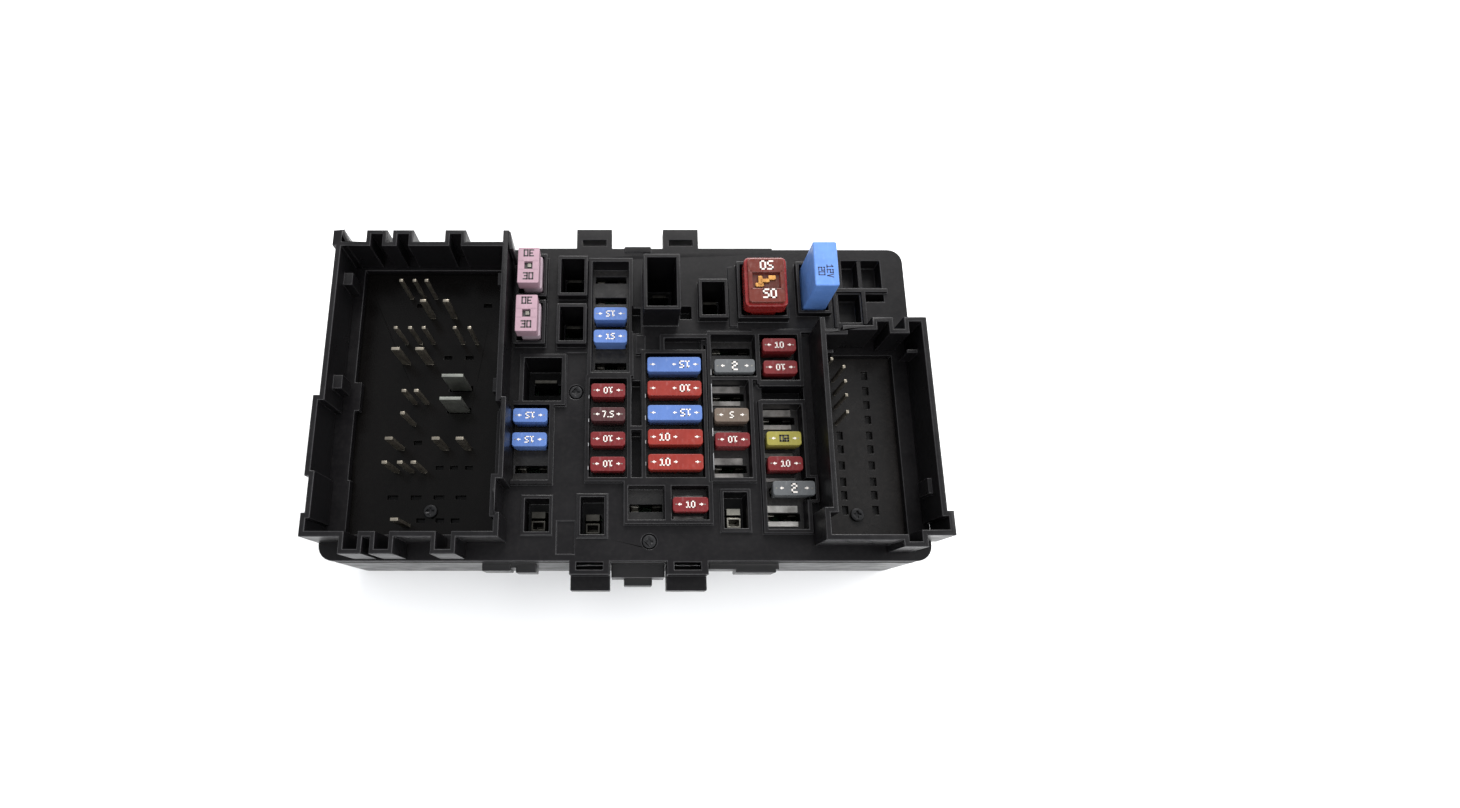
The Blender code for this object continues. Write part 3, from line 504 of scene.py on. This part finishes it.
def add_block(shape, x, y, z, corner=0.0):
    """A box between these spans, with its upright edges rounded."""
    spans = (x, y, z)
    made = bmesh.ops.create_cube(shape, size=1.0)
    size = Vector([(high - low) * MM for low, high in spans])
    bmesh.ops.scale(shape, vec=size, verts=made["verts"])
    middle = Vector([(high + low) / 2 * MM for low, high in spans])
    bmesh.ops.translate(shape, vec=middle, verts=made["verts"])
    if corner:
        edges = {edge for vertex in made["verts"] for edge in vertex.link_edges}
        upright = [e for e in edges if abs(e.verts[0].co.z - e.verts[1].co.z) > size.z / 2]
        bmesh.ops.bevel(
            shape, geom=upright, offset=corner * MM, segments=CORNER_SEGMENTS, profile=0.5, affect="EDGES"
        )


def finish_piece(name, shape, material, at, body, edge=0.0):
    """An object from a bmesh, riding on a CAD body, with its edges rounded."""
    mesh = bpy.data.meshes.new(name)
    shape.to_mesh(mesh)
    shape.free()
    mesh.materials.append(MATERIALS[material])
    mesh.shade_smooth()
    piece = bpy.data.objects.new(name, mesh)
    piece.location = (at[0] * MM, at[1] * MM, 0.0)
    bpy.context.scene.collection.objects.link(piece)
    if edge:
        bevel = piece.modifiers.new("edges", "BEVEL")
        bevel.width = edge * MM
        bevel.segments = EDGE_SEGMENTS
        bevel.limit_method = "ANGLE"
        bevel.angle_limit = PIECE_CORNER
        bevel.harden_normals = True
    else:
        mesh.set_sharp_from_angle(angle=FLAT_SHADED)
    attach(piece, body)
    return piece


# ---------------------------------------------------------------- print

# Characters as strokes on a grid one unit wide and two high
STROKES = {
    "0": (((0, 0), (1, 0), (1, 2), (0, 2), (0, 0)),),
    "1": (((0.05, 1.6), (0.5, 2), (0.5, 0)), ((0, 0), (1, 0))),
    "2": (((0, 1.7), (0, 2), (1, 2), (1, 1.05), (0, 1.05), (0, 0), (1, 0)),),
    "3": (((0, 2), (1, 2), (1, 0), (0, 0)), ((0.3, 1.05), (1, 1.05))),
    "5": (((1, 2), (0, 2), (0, 1.1), (1, 1.1), (1, 0), (0, 0)),),
    "7": (((0, 2), (1, 2), (0.4, 0)),),
    "V": (((0, 2), (0.5, 0), (1, 2)),),
    ".": (((0.45, 0), (0.55, 0)),),
}
# Shares of a character's height
CHARACTER_WIDTH = 0.55
CHARACTER_STEP = 0.86
POINT_STEP = 0.45
STROKE_WIDTH = 0.19
CAP_STROKE_WIDTH = 0.22
DARK_STROKE_WIDTH = 0.28

INK_DEPTH = 0.03
PRINT_LIFT = 0.01  # how far the middle of the ink lies above the plastic
MARK_LIFT = 0.005
HALF_TURN = 180.0
QUARTER_TURN_BACK = -90.0

ARROW_OUTLINE = (
    (0.56, 0.0), (-0.04, 0.42), (-0.04, 0.13), (-0.50, 0.13), (-0.50, -0.13), (-0.04, -0.13), (-0.04, -0.42),
)


def add_stroke(shape, start, end, width, z):
    """A thin raised bar from one point to another, long enough to overlap the next at a corner."""
    run = end - start
    length = run.length + width
    made = bmesh.ops.create_cube(shape, size=1.0)["verts"]
    bmesh.ops.scale(shape, vec=Vector((length, width, INK_DEPTH)) * MM, verts=made)
    bmesh.ops.rotate(shape, matrix=Matrix.Rotation(math.atan2(run.y, run.x), 3, "Z"), verts=made)
    middle = (start + end) / 2
    bmesh.ops.translate(shape, vec=Vector((middle.x, middle.y, z)) * MM, verts=made)


def add_text(shape, text, height, x, y, z, turn=0.0, stroke=STROKE_WIDTH):
    """Raised characters facing up, centred on x and y, turned by this many degrees."""
    steps = [POINT_STEP if character == "." else CHARACTER_STEP for character in text]
    across = -sum(steps) / 2
    spin = Matrix.Rotation(math.radians(turn), 2)
    for character, step in zip(text, steps):
        left = across + (step - CHARACTER_WIDTH) / 2
        for path in STROKES[character]:
            points = [Vector((left + u * CHARACTER_WIDTH, v / 2 - 0.5)) * height for u, v in path]
            placed = [spin @ point + Vector((x, y)) for point in points]
            for start, end in zip(placed, placed[1:]):
                add_stroke(shape, start, end, stroke * height, z)
        across += step


def add_mark(shape, x, y, z, pointing):
    """A small printed arrowhead with a short tail, beside a fuse's test point."""
    corners = [Vector((x + pointing * u, y + v, z)) * MM for u, v in ARROW_OUTLINE]
    face = shape.faces.new([shape.verts.new(corner) for corner in corners])
    lifted = bmesh.ops.extrude_face_region(shape, geom=[face])["geom"]
    up = [item for item in lifted if isinstance(item, bmesh.types.BMVert)]
    bmesh.ops.translate(shape, vec=(0.0, 0.0, INK_DEPTH * MM), verts=up)
    bmesh.ops.recalc_face_normals(shape, faces=shape.faces)


# ---------------------------------------------------------------- blade fuses

# A family's blade offsets and width, its mark offsets, where its digits sit, and the digits' height
Family = namedtuple("Family", "blades blade_width marks digits_at digit_height")
FAMILIES = {
    "two": Family((-2.9, 2.9), 2.2, (-2.75, 2.75), 0.0, 1.5),
    "three": Family((-5.2, 0.0, 5.2), 2.2, (-5.6, 0.0, 5.6), -2.8, 1.75),
    "wide": Family((-3.9, 3.9), 2.6, (-3.2, 3.2), 0.0, 2.1),
}

# What each blade fuse is: its family, plastic, printed rating, and whether the print faces the back
FUSES = (
    ("micro2_back_1", "two", "blue_plastic", "15", True),
    ("micro2_back_2", "two", "blue_plastic", "15", False),
    ("micro2_left_1", "two", "blue_plastic", "15", True),
    ("micro2_left_2", "two", "blue_plastic", "15", True),
    ("micro2_inner_1", "two", "red_plastic", "10", True),
    ("micro2_inner_2", "two", "brown_plastic", "7.5", False),
    ("micro2_inner_3", "two", "red_plastic", "10", True),
    ("micro2_inner_4", "two", "red_plastic", "10", True),
    ("micro3_1", "three", "blue_plastic", "15", True),
    ("micro3_2", "three", "wide_red", "10", True),
    ("micro3_3", "three", "blue_plastic", "15", True),
    ("micro3_4", "three", "wide_red", "10", False),
    ("micro3_5", "three", "wide_red", "10", False),
    ("mini_1", "wide", "grey_plastic", "2", False),
    ("mini_2", "wide", "grey_plastic", "2", False),
    ("micro2_right_1", "two", "tan_plastic", "5", True),
    ("micro2_right_2", "two", "red_plastic", "10", True),
    ("micro2_far_1", "two", "red_plastic", "10", False),
    ("micro2_far_2", "two", "red_plastic", "10", True),
    ("micro2_far_3", "two", "yellow_plastic", "20", True),
    ("micro2_far_4", "two", "red_plastic", "10", False),
    ("micro2_front", "two", "red_plastic", "10", False),
)

# A shell is a crown over a slightly smaller waist, with a rib at each end
CROWN_HEIGHT = 2.6
CROWN_CORNER = 0.75
SHELL_FOOT = 24.4
WAIST_TOP = 1.0  # below the fuse's top
WAIST_SHORTER = 0.8
WAIST_NARROWER = 0.62
WAIST_CORNER = 0.35
RIB_INSET = 0.65
RIB_SIZE = (0.6, 1.6)
RIB_TOP = 0.8
RIB_CORNER = 0.2
SHELL_EDGE = 0.22

BLADE_TOP = 25.2
BLADE_THICK = 0.64
BLADE_START = 0.9  # above the tip
TIP_THICK = 0.5
TIP_NARROWER = 0.7
TIP_LENGTH = 1.4
TIP_CORNER = 0.2

POINT_INSET = 0.85
POINT_SIZE = (0.42, 0.3)
POINT_DEPTH = 0.4
POINT_CORNER = 0.08


def fuse_shell(node, place, plastic):
    half_length, top = place.length / 2, place.top
    shell = bmesh.new()
    crown = (top - CROWN_HEIGHT, top)
    add_block(shell, about(0.0, place.length), about(0.0, place.depth), crown, CROWN_CORNER)
    waist = about(0.0, place.length - WAIST_SHORTER), about(0.0, place.depth - WAIST_NARROWER)
    add_block(shell, *waist, (SHELL_FOOT, top - WAIST_TOP), WAIST_CORNER)
    rib_length, rib_depth = RIB_SIZE
    for side in (-1, 1):
        rib = about(side * (half_length - RIB_INSET), rib_length), about(0.0, rib_depth)
        add_block(shell, *rib, (SHELL_FOOT, top - RIB_TOP), RIB_CORNER)
    piece = finish_piece(f"{node}_shell", shell, plastic, place.at, node, edge=SHELL_EDGE)
    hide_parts(node)


def add_blade(shape, x, width, low, high):
    """A flat blade with a tapered tip."""
    add_block(shape, about(x, width), about(0.0, BLADE_THICK), (low + BLADE_START, high))
    tip = about(x, width - TIP_NARROWER), about(0.0, TIP_THICK)
    add_block(shape, *tip, (low, low + TIP_LENGTH), TIP_CORNER)


def fuse_blades(node, place, family):
    blades = bmesh.new()
    for offset in family.blades:
        add_blade(blades, offset, family.blade_width, place.low, BLADE_TOP)
    finish_piece(f"{node}_blades", blades, "tin", place.at, node)


def fuse_test_points(node, place):
    points = bmesh.new()
    length, depth = POINT_SIZE
    for side in (-1, 1):
        point = about(side * (place.length / 2 - POINT_INSET), length), about(0.0, depth)
        add_block(points, *point, (place.top - POINT_DEPTH, place.top + PRINT_LIFT), POINT_CORNER)
    finish_piece(f"{node}_test_points", points, "tin", place.at, node)


def fuse_print(node, place, family, plastic, rating, turned):
    """The rating, dark on yellow and white on the rest."""
    dark = plastic == "yellow_plastic"
    stroke = DARK_STROKE_WIDTH if dark else STROKE_WIDTH
    across, turn = (-family.digits_at, HALF_TURN) if turned else (family.digits_at, 0.0)
    printed = bmesh.new()
    add_text(printed, rating, family.digit_height, across, 0.0, place.top + PRINT_LIFT, turn, stroke)
    finish_piece(f"{node}_print", printed, "black_ink" if dark else "white_ink", place.at, node)


def fuse_marks(node, place, family, turned):
    arrows = bmesh.new()
    for offset in family.marks:
        pointing = 1 if offset > 0 or (offset == 0 and not turned) else -1
        add_mark(arrows, offset, 0.0, place.top + MARK_LIFT, pointing)
    finish_piece(f"{node}_marks", arrows, "white_ink", place.at, node)


def blade_fuse(node, family_name, plastic, rating, turned):
    family, place = FAMILIES[family_name], place_of(node)
    fuse_shell(node, place, plastic)
    fuse_blades(node, place, family)
    fuse_test_points(node, place)
    fuse_print(node, place, family, plastic, rating, turned)
    fuse_marks(node, place, family, turned)


# ---------------------------------------------------------------- cartridge fuses

CAP_WIDTH = (-3.1, 2.65)
CAP_DEPTH = (-5.2, 5.2)
CAP_FOOT = 3.8  # depths below the fuse's top
CAP_DECK = 0.9
CAP_RIM_FOOT = 1.0
CAP_CORNER = 0.4
CAP_RIM_CORNER = 0.3
CAP_EDGE = 0.12
CAP_MIDDLE = -0.2
WINDOW_SIDES = (-1.35, 0.85)
WINDOW_ENDS = (-1.1, 1.1)
WINDOW_RAILS = (-1.4, 1.4)
DARK_PANE = ((-1.3, 0.8), (-1.05, 1.05))
DARK_PANE_DEPTH = (0.92, 0.84)
LINK = ((-0.5, 0.5), (-0.35, 0.75))
LINK_DEPTH = (0.85, 0.55)
LINK_CORNER = 0.2
CARTRIDGE_CASE = ((-2.0, 3.1), (-4.9, 4.6))
CASE_TOP = 4.3
CASE_CORNER = 0.5
CARTRIDGE_NECK = ((-1.6, 2.6), (-4.4, 4.2))
NECK_DEPTH = (4.4, 3.7)
NECK_CORNER = 0.3
CASE_EDGE_ROUND = 0.2
CAP_DIGITS = 1.75
CAP_PRINTS = ((-3.2, 0.0), (3.6, HALF_TURN))  # each "30" by its place in Y and its turn


def below(top, depths):
    """The span between two depths below a top."""
    return tuple(top - depth for depth in depths)


def cartridge_cap(node, place):
    """The cap, with a raised rim around a small window."""
    top = place.top
    rim = (top - CAP_RIM_FOOT, top)
    cap = bmesh.new()
    add_block(cap, CAP_WIDTH, CAP_DEPTH, (top - CAP_FOOT, top - CAP_DECK), CAP_CORNER)
    add_block(cap, CAP_WIDTH, (WINDOW_ENDS[1], CAP_DEPTH[1]), rim, CAP_RIM_CORNER)
    add_block(cap, CAP_WIDTH, (CAP_DEPTH[0], WINDOW_ENDS[0]), rim, CAP_RIM_CORNER)
    add_block(cap, (CAP_WIDTH[0], WINDOW_SIDES[0]), WINDOW_RAILS, rim)
    add_block(cap, (WINDOW_SIDES[1], CAP_WIDTH[1]), WINDOW_RAILS, rim)
    piece = finish_piece(f"{node}_cap", cap, "pink_plastic", place.at, node, edge=CAP_EDGE)
    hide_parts(node)


def cartridge_case(node, place):
    case = bmesh.new()
    add_block(case, *CARTRIDGE_CASE, (place.low, place.top - CASE_TOP), CASE_CORNER)
    add_block(case, *CARTRIDGE_NECK, below(place.top, NECK_DEPTH), NECK_CORNER)
    finish_piece(f"{node}_case", case, "pink_body", place.at, node, edge=CASE_EDGE_ROUND)


def cartridge_window(node, place):
    """The dark pane behind the window, and the bright link seen in it."""
    dark = bmesh.new()
    add_block(dark, *DARK_PANE, below(place.top, DARK_PANE_DEPTH))
    finish_piece(f"{node}_window", dark, "black_ink", place.at, node)
    link = bmesh.new()
    add_block(link, *LINK, below(place.top, LINK_DEPTH), LINK_CORNER)
    finish_piece(f"{node}_link", link, "tin", place.at, node)


def cartridge_print(node, place):
    z = place.top + PRINT_LIFT
    printed = bmesh.new()
    for y, turn in CAP_PRINTS:
        add_text(printed, "30", CAP_DIGITS, CAP_MIDDLE, y, z, turn, CAP_STROKE_WIDTH)
    finish_piece(f"{node}_print", printed, "black_ink", place.at, node)


def cartridge_fuse(node):
    place = place_of(node)
    cartridge_cap(node, place)
    cartridge_case(node, place)
    cartridge_window(node, place)
    cartridge_print(node, place)


# ---------------------------------------------------------------- main fuse

MAIN_HEAD = ((-5.75, 5.75), (-7.2, 7.2))
MAIN_HEAD_DEPTH = (5.4, 1.1)  # depths below the fuse's top
MAIN_HEAD_CORNER = 1.4
MAIN_LEG = ((-3.6, 3.6), (-6.8, 6.8))
MAIN_LEG_TOP = 5.0
MAIN_LEG_CORNER = 0.9
MAIN_EDGE = 0.35
LID_WIDTH = (-4.9, 4.9)
LID_ENDS = (2.3, 6.4)
LID_RAIL = 3.7
LID_RAIL_ENDS = (-2.9, 2.9)
LID_DEPTH = 1.3
LID_CORNER = 0.9
LID_EDGE = 0.2
MAIN_WINDOW = ((-3.6, 3.6), (-2.2, 2.2))
MAIN_WINDOW_DEPTH = (1.12, 1.05)
# The fuse element's bends: spans in X and Y, depth of the upper face, corner
ELEMENT_FOOT = 1.05
ELEMENT_BENDS = (
    ((-3.0, -0.6), (-1.7, -0.5), 0.62, 0.4),
    ((-2.2, -0.9), (-1.0, 1.5), 0.5, 0.4),
    ((-1.4, 0.9), (-0.5, 0.6), 0.4, 0.3),
    ((0.6, 2.7), (0.3, 1.7), 0.62, 0.4),
)
ELEMENT_EDGE = 0.15
MAIN_DIGITS = 2.3
MAIN_PRINTS = ((0.7, -3.9, 0.0), (0.2, 4.4, HALF_TURN))  # each "50" by its place in X and Y and its turn


def main_fuse_shell(node, place):
    shell = bmesh.new()
    add_block(shell, *MAIN_HEAD, below(place.top, MAIN_HEAD_DEPTH), MAIN_HEAD_CORNER)
    add_block(shell, *MAIN_LEG, (place.low, place.top - MAIN_LEG_TOP), MAIN_LEG_CORNER)
    piece = finish_piece(f"{node}_shell", shell, "clear_red", place.at, node, edge=MAIN_EDGE)
    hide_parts(node)


def main_fuse_lid(node, place):
    """The smoky lid, open over the element, and the amber floor of that opening."""
    near, far = LID_ENDS
    height = (place.top - LID_DEPTH, place.top)
    lid = bmesh.new()
    add_block(lid, LID_WIDTH, (near, far), height, LID_CORNER)
    add_block(lid, LID_WIDTH, (-far, -near), height, LID_CORNER)
    add_block(lid, (LID_WIDTH[0], -LID_RAIL), LID_RAIL_ENDS, height)
    add_block(lid, (LID_RAIL, LID_WIDTH[1]), LID_RAIL_ENDS, height)
    finish_piece(f"{node}_lid", lid, "smoky_red", place.at, node, edge=LID_EDGE)
    recess = bmesh.new()
    add_block(recess, *MAIN_WINDOW, below(place.top, MAIN_WINDOW_DEPTH))
    finish_piece(f"{node}_window", recess, "amber", place.at, node)


def main_fuse_element(node, place):
    strip = bmesh.new()
    for x, y, depth, corner in ELEMENT_BENDS:
        add_block(strip, x, y, below(place.top, (ELEMENT_FOOT, depth)), corner)
    finish_piece(f"{node}_element", strip, "element", place.at, node, edge=ELEMENT_EDGE)


def main_fuse_print(node, place):
    z = place.top + PRINT_LIFT
    printed = bmesh.new()
    for x, y, turn in MAIN_PRINTS:
        add_text(printed, "50", MAIN_DIGITS, x, y, z, turn)
    finish_piece(f"{node}_print", printed, "white_ink", place.at, node)


def main_fuse(node):
    place = place_of(node)
    main_fuse_shell(node, place)
    main_fuse_lid(node, place)
    main_fuse_element(node, place)
    main_fuse_print(node, place)


# ---------------------------------------------------------------- relay

RELAY_BODY = ((-3.15, 3.15), (-6.3, 6.3))
RELAY_BODY_FOOT = 19.5
RELAY_BODY_CORNER = 0.5
RELAY_BASE = ((-3.3, 3.3), (-6.45, 6.45), (17.3, 20.2))
RELAY_BASE_CORNER = 0.4
RELAY_EDGE = 0.45
RELAY_PRINT_ROOM = 0.03  # left at the top, so that the print stays inside the CAD box
RELAY_BLADES = (-3.6, 3.6)
RELAY_BLADE_WIDTH = (-1.4, 1.4)
RELAY_BLADE_THICK = 0.7
RELAY_BLADE_TOP = 17.6
RELAY_BLADE_EDGE = 0.1
RELAY_DIGITS = 1.5
RELAY_PRINT_Y = -2.2
RELAY_ROWS = (("12V", 0.9), ("20", -1.3))  # each row of print and its place in X


def relay_shell(node, place, lid):
    shell = bmesh.new()
    add_block(shell, *RELAY_BODY, (RELAY_BODY_FOOT, lid), RELAY_BODY_CORNER)
    add_block(shell, *RELAY_BASE, RELAY_BASE_CORNER)
    blue = "relay_blue_plastic"
    piece = finish_piece(f"{node}_shell", shell, blue, place.at, node, edge=RELAY_EDGE)
    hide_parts(node)


def relay_blades(node, place):
    blades = bmesh.new()
    for offset in RELAY_BLADES:
        thick = about(offset, RELAY_BLADE_THICK)
        add_block(blades, RELAY_BLADE_WIDTH, thick, (place.low, RELAY_BLADE_TOP))
    finish_piece(f"{node}_blades", blades, "tin", place.at, node, edge=RELAY_BLADE_EDGE)


def relay_print(node, place, lid):
    """Two short rows that read from the back to the front."""
    z = lid + PRINT_LIFT
    printed = bmesh.new()
    for row, x in RELAY_ROWS:
        add_text(printed, row, RELAY_DIGITS, x, RELAY_PRINT_Y, z, QUARTER_TURN_BACK)
    finish_piece(f"{node}_print", printed, "blue_ink", place.at, node)


def relay(node):
    place = place_of(node)
    lid = place.top - RELAY_PRINT_ROOM
    relay_shell(node, place, lid)
    relay_blades(node, place)
    relay_print(node, place, lid)


def plug_ins():
    for each in FUSES:
        blade_fuse(*each)
    cartridge_fuse("cartridge_fuse_1")
    cartridge_fuse("cartridge_fuse_2")
    main_fuse("main_fuse")
    relay("relay")


# ---------------------------------------------------------------- ledges and painted rim glints

LEDGE_HEIGHT = (23.9, 24.4)
LEDGE_WIDTH = 8.0
LEDGE_CORNER = 0.15
LEDGE_EDGE = 0.08
BACK_LEDGE = (1.2, 3.0)  # from the seat's centre
FRONT_LEDGE = (-2.5, -1.2)
# Each empty or half-open seat whose ledges show, by its centre
OPEN_SEATS = ((27.5, 0.9), (27.5, -19.2), (41.0, -5.8))
# the front seat, whose ledges take the paler painted sheen
BRIGHT_SEAT = (41.4, -32.0)
# Single ledges between two plug-ins: centre, and how deep from front to back
NARROW_LEDGES = (
    (27.5, -9.1, 1.0), (41.0, -15.5, 1.3), (41.4, -22.1, 1.0), (16.6, -26.9, 1.2), (16.6, -32.2, 0.8),
)

# Painted glints on the bays' left rims, pale slivers standing in for light caught by the glossy rim edges: x,
# where each starts from front to back, and its length
RIM_GLINTS = (
    (-9.62, -1.0, 0.9), (-9.62, -7.5, 0.9), (-9.62, -14.1, 0.9), (-9.62, -20.4, 1.0),
    (5.42, -0.8, 1.0), (5.42, -7.0, 1.2), (5.42, -13.4, 0.9), (5.42, -19.3, 1.0),
    (23.16, -4.9, 8.0), (23.16, -11.4, 2.2), (23.16, -20.4, 4.4), (23.16, 5.6, 1.6),
)
RIM_TOP = 29.62
RIM_GLINT_WIDTH = 0.16
RIM_GLINT_DEPTH = 0.4
HOUSING_ORIGIN = (0.0, 0.0)


def add_ledge_pair(shape, x, y):
    for start, end in (BACK_LEDGE, FRONT_LEDGE):
        add_block(shape, about(x, LEDGE_WIDTH), (y + start, y + end), LEDGE_HEIGHT, LEDGE_CORNER)


def finish_ledges(name, shape, material):
    finish_piece(name, shape, material, HOUSING_ORIGIN, "housing", edge=LEDGE_EDGE)


def seat_ledges():
    """The ledges that carry the contact springs on either side of an open seat's slot, drawn pale as a
    painted sheen.
    """
    shape = bmesh.new()
    for seat in OPEN_SEATS:
        add_ledge_pair(shape, *seat)
    for x, y, depth in NARROW_LEDGES:
        add_block(shape, about(x, LEDGE_WIDTH), about(y, depth), LEDGE_HEIGHT, LEDGE_CORNER)
    finish_ledges("seat_ledges", shape, "sheen_ledge")
    bright = bmesh.new()
    add_ledge_pair(bright, *BRIGHT_SEAT)
    finish_ledges("front_seat_ledges", bright, "bright_sheen_ledge")


# Thin pale slivers along the rims: painted glints where the glossy edges catch the light
def painted_rim_glints():
    shape = bmesh.new()
    for x, start, length in RIM_GLINTS:
        height = (RIM_TOP - RIM_GLINT_DEPTH, RIM_TOP)
        add_block(shape, about(x, RIM_GLINT_WIDTH), (start, start + length), height)
    finish_piece("painted_rim_glints", shape, "rubbed_and_glint", HOUSING_ORIGIN, "housing")


# ---------------------------------------------------------------- stage, in metres

FLOOR_SIZE = 6.0
FLOOR_HEIGHT = -0.0003
FLOOR_COLOURS = ((0.95, 0.95, 0.95), (0.97, 0.97, 0.97))
LIGHT_SIZE = 0.6
LIGHT_TARGET = (0.0, 0.0, 0.02)
# Each light's name, place, power in watts and colour
LIGHTS = (
    ("key", (0.10, 0.80, 0.62), 13.0, (1.0, 0.985, 0.97)),
    ("fill_right", (0.80, 0.10, 0.70), 5.0, (1.0, 1.0, 1.0)),
    ("fill_front", (0.0, -0.70, 0.85), 4.5, (1.0, 1.0, 1.0)),
)
SKY_COLOUR = (0.95, 0.97, 1.0, 1.0)
SKY_STRENGTH = 0.85

# The photograph's view
CAMERA_PLACE = (0.0, -0.063, 0.2345)
CAMERA_ELEVATION = 74.0  # degrees above the horizon
SENSOR_WIDTH = 36.0
LENS = 19.775
SHIFT = (0.0719, 0.0041)
CLIP = (0.01, 20.0)


def make_floor():
    made, nodes, links = new_material("floor")
    shader = nodes["Principled BSDF"]
    tint = remap(nodes, links, noise(nodes, links, FLOOR_TINT), 0.0, 1.0)
    links.new(blend_colours(nodes, links, tint, *FLOOR_COLOURS), shader.inputs["Base Color"])
    finish = remap(nodes, links, noise(nodes, links, FLOOR_GLOSS), *FLOOR_FINISH)
    links.new(finish, shader.inputs["Roughness"])
    bpy.ops.mesh.primitive_plane_add(size=FLOOR_SIZE, location=(0.0, 0.0, FLOOR_HEIGHT))
    floor = bpy.context.object
    floor.name = "floor"
    floor.data.materials.append(made)


def area_light(name, place, power, colour):
    """A soft square light aimed at the middle of the object."""
    data = bpy.data.lights.new(name, "AREA")
    data.shape = "SQUARE"
    data.size = LIGHT_SIZE
    data.energy = power
    data.color = colour
    light = bpy.data.objects.new(name, data)
    light.location = place
    aim = Vector(LIGHT_TARGET) - Vector(place)
    light.rotation_euler = aim.to_track_quat("-Z", "Y").to_euler()
    bpy.context.scene.collection.objects.link(light)


def light_scene():
    world = bpy.data.worlds.new("studio")
    world.use_nodes = True
    sky = world.node_tree.nodes["Background"]
    sky.inputs["Color"].default_value = SKY_COLOUR
    sky.inputs["Strength"].default_value = SKY_STRENGTH
    bpy.context.scene.world = world
    for light in LIGHTS:
        area_light(*light)


def add_camera():
    data = bpy.data.cameras.new("camera")
    data.sensor_width = SENSOR_WIDTH
    data.lens = LENS
    data.shift_x, data.shift_y = SHIFT
    data.clip_start, data.clip_end = CLIP
    camera = bpy.data.objects.new("camera", data)
    camera.location = CAMERA_PLACE
    camera.rotation_euler = (math.radians(90.0 - CAMERA_ELEVATION), 0.0, 0.0)
    bpy.context.scene.collection.objects.link(camera)
    bpy.context.scene.camera = camera


def main():
    dress_frame()
    plug_ins()
    seat_ledges()
    painted_rim_glints()
    make_floor()
    light_scene()
    add_camera()
    bpy.context.scene.view_settings.view_transform = "Standard"


main()
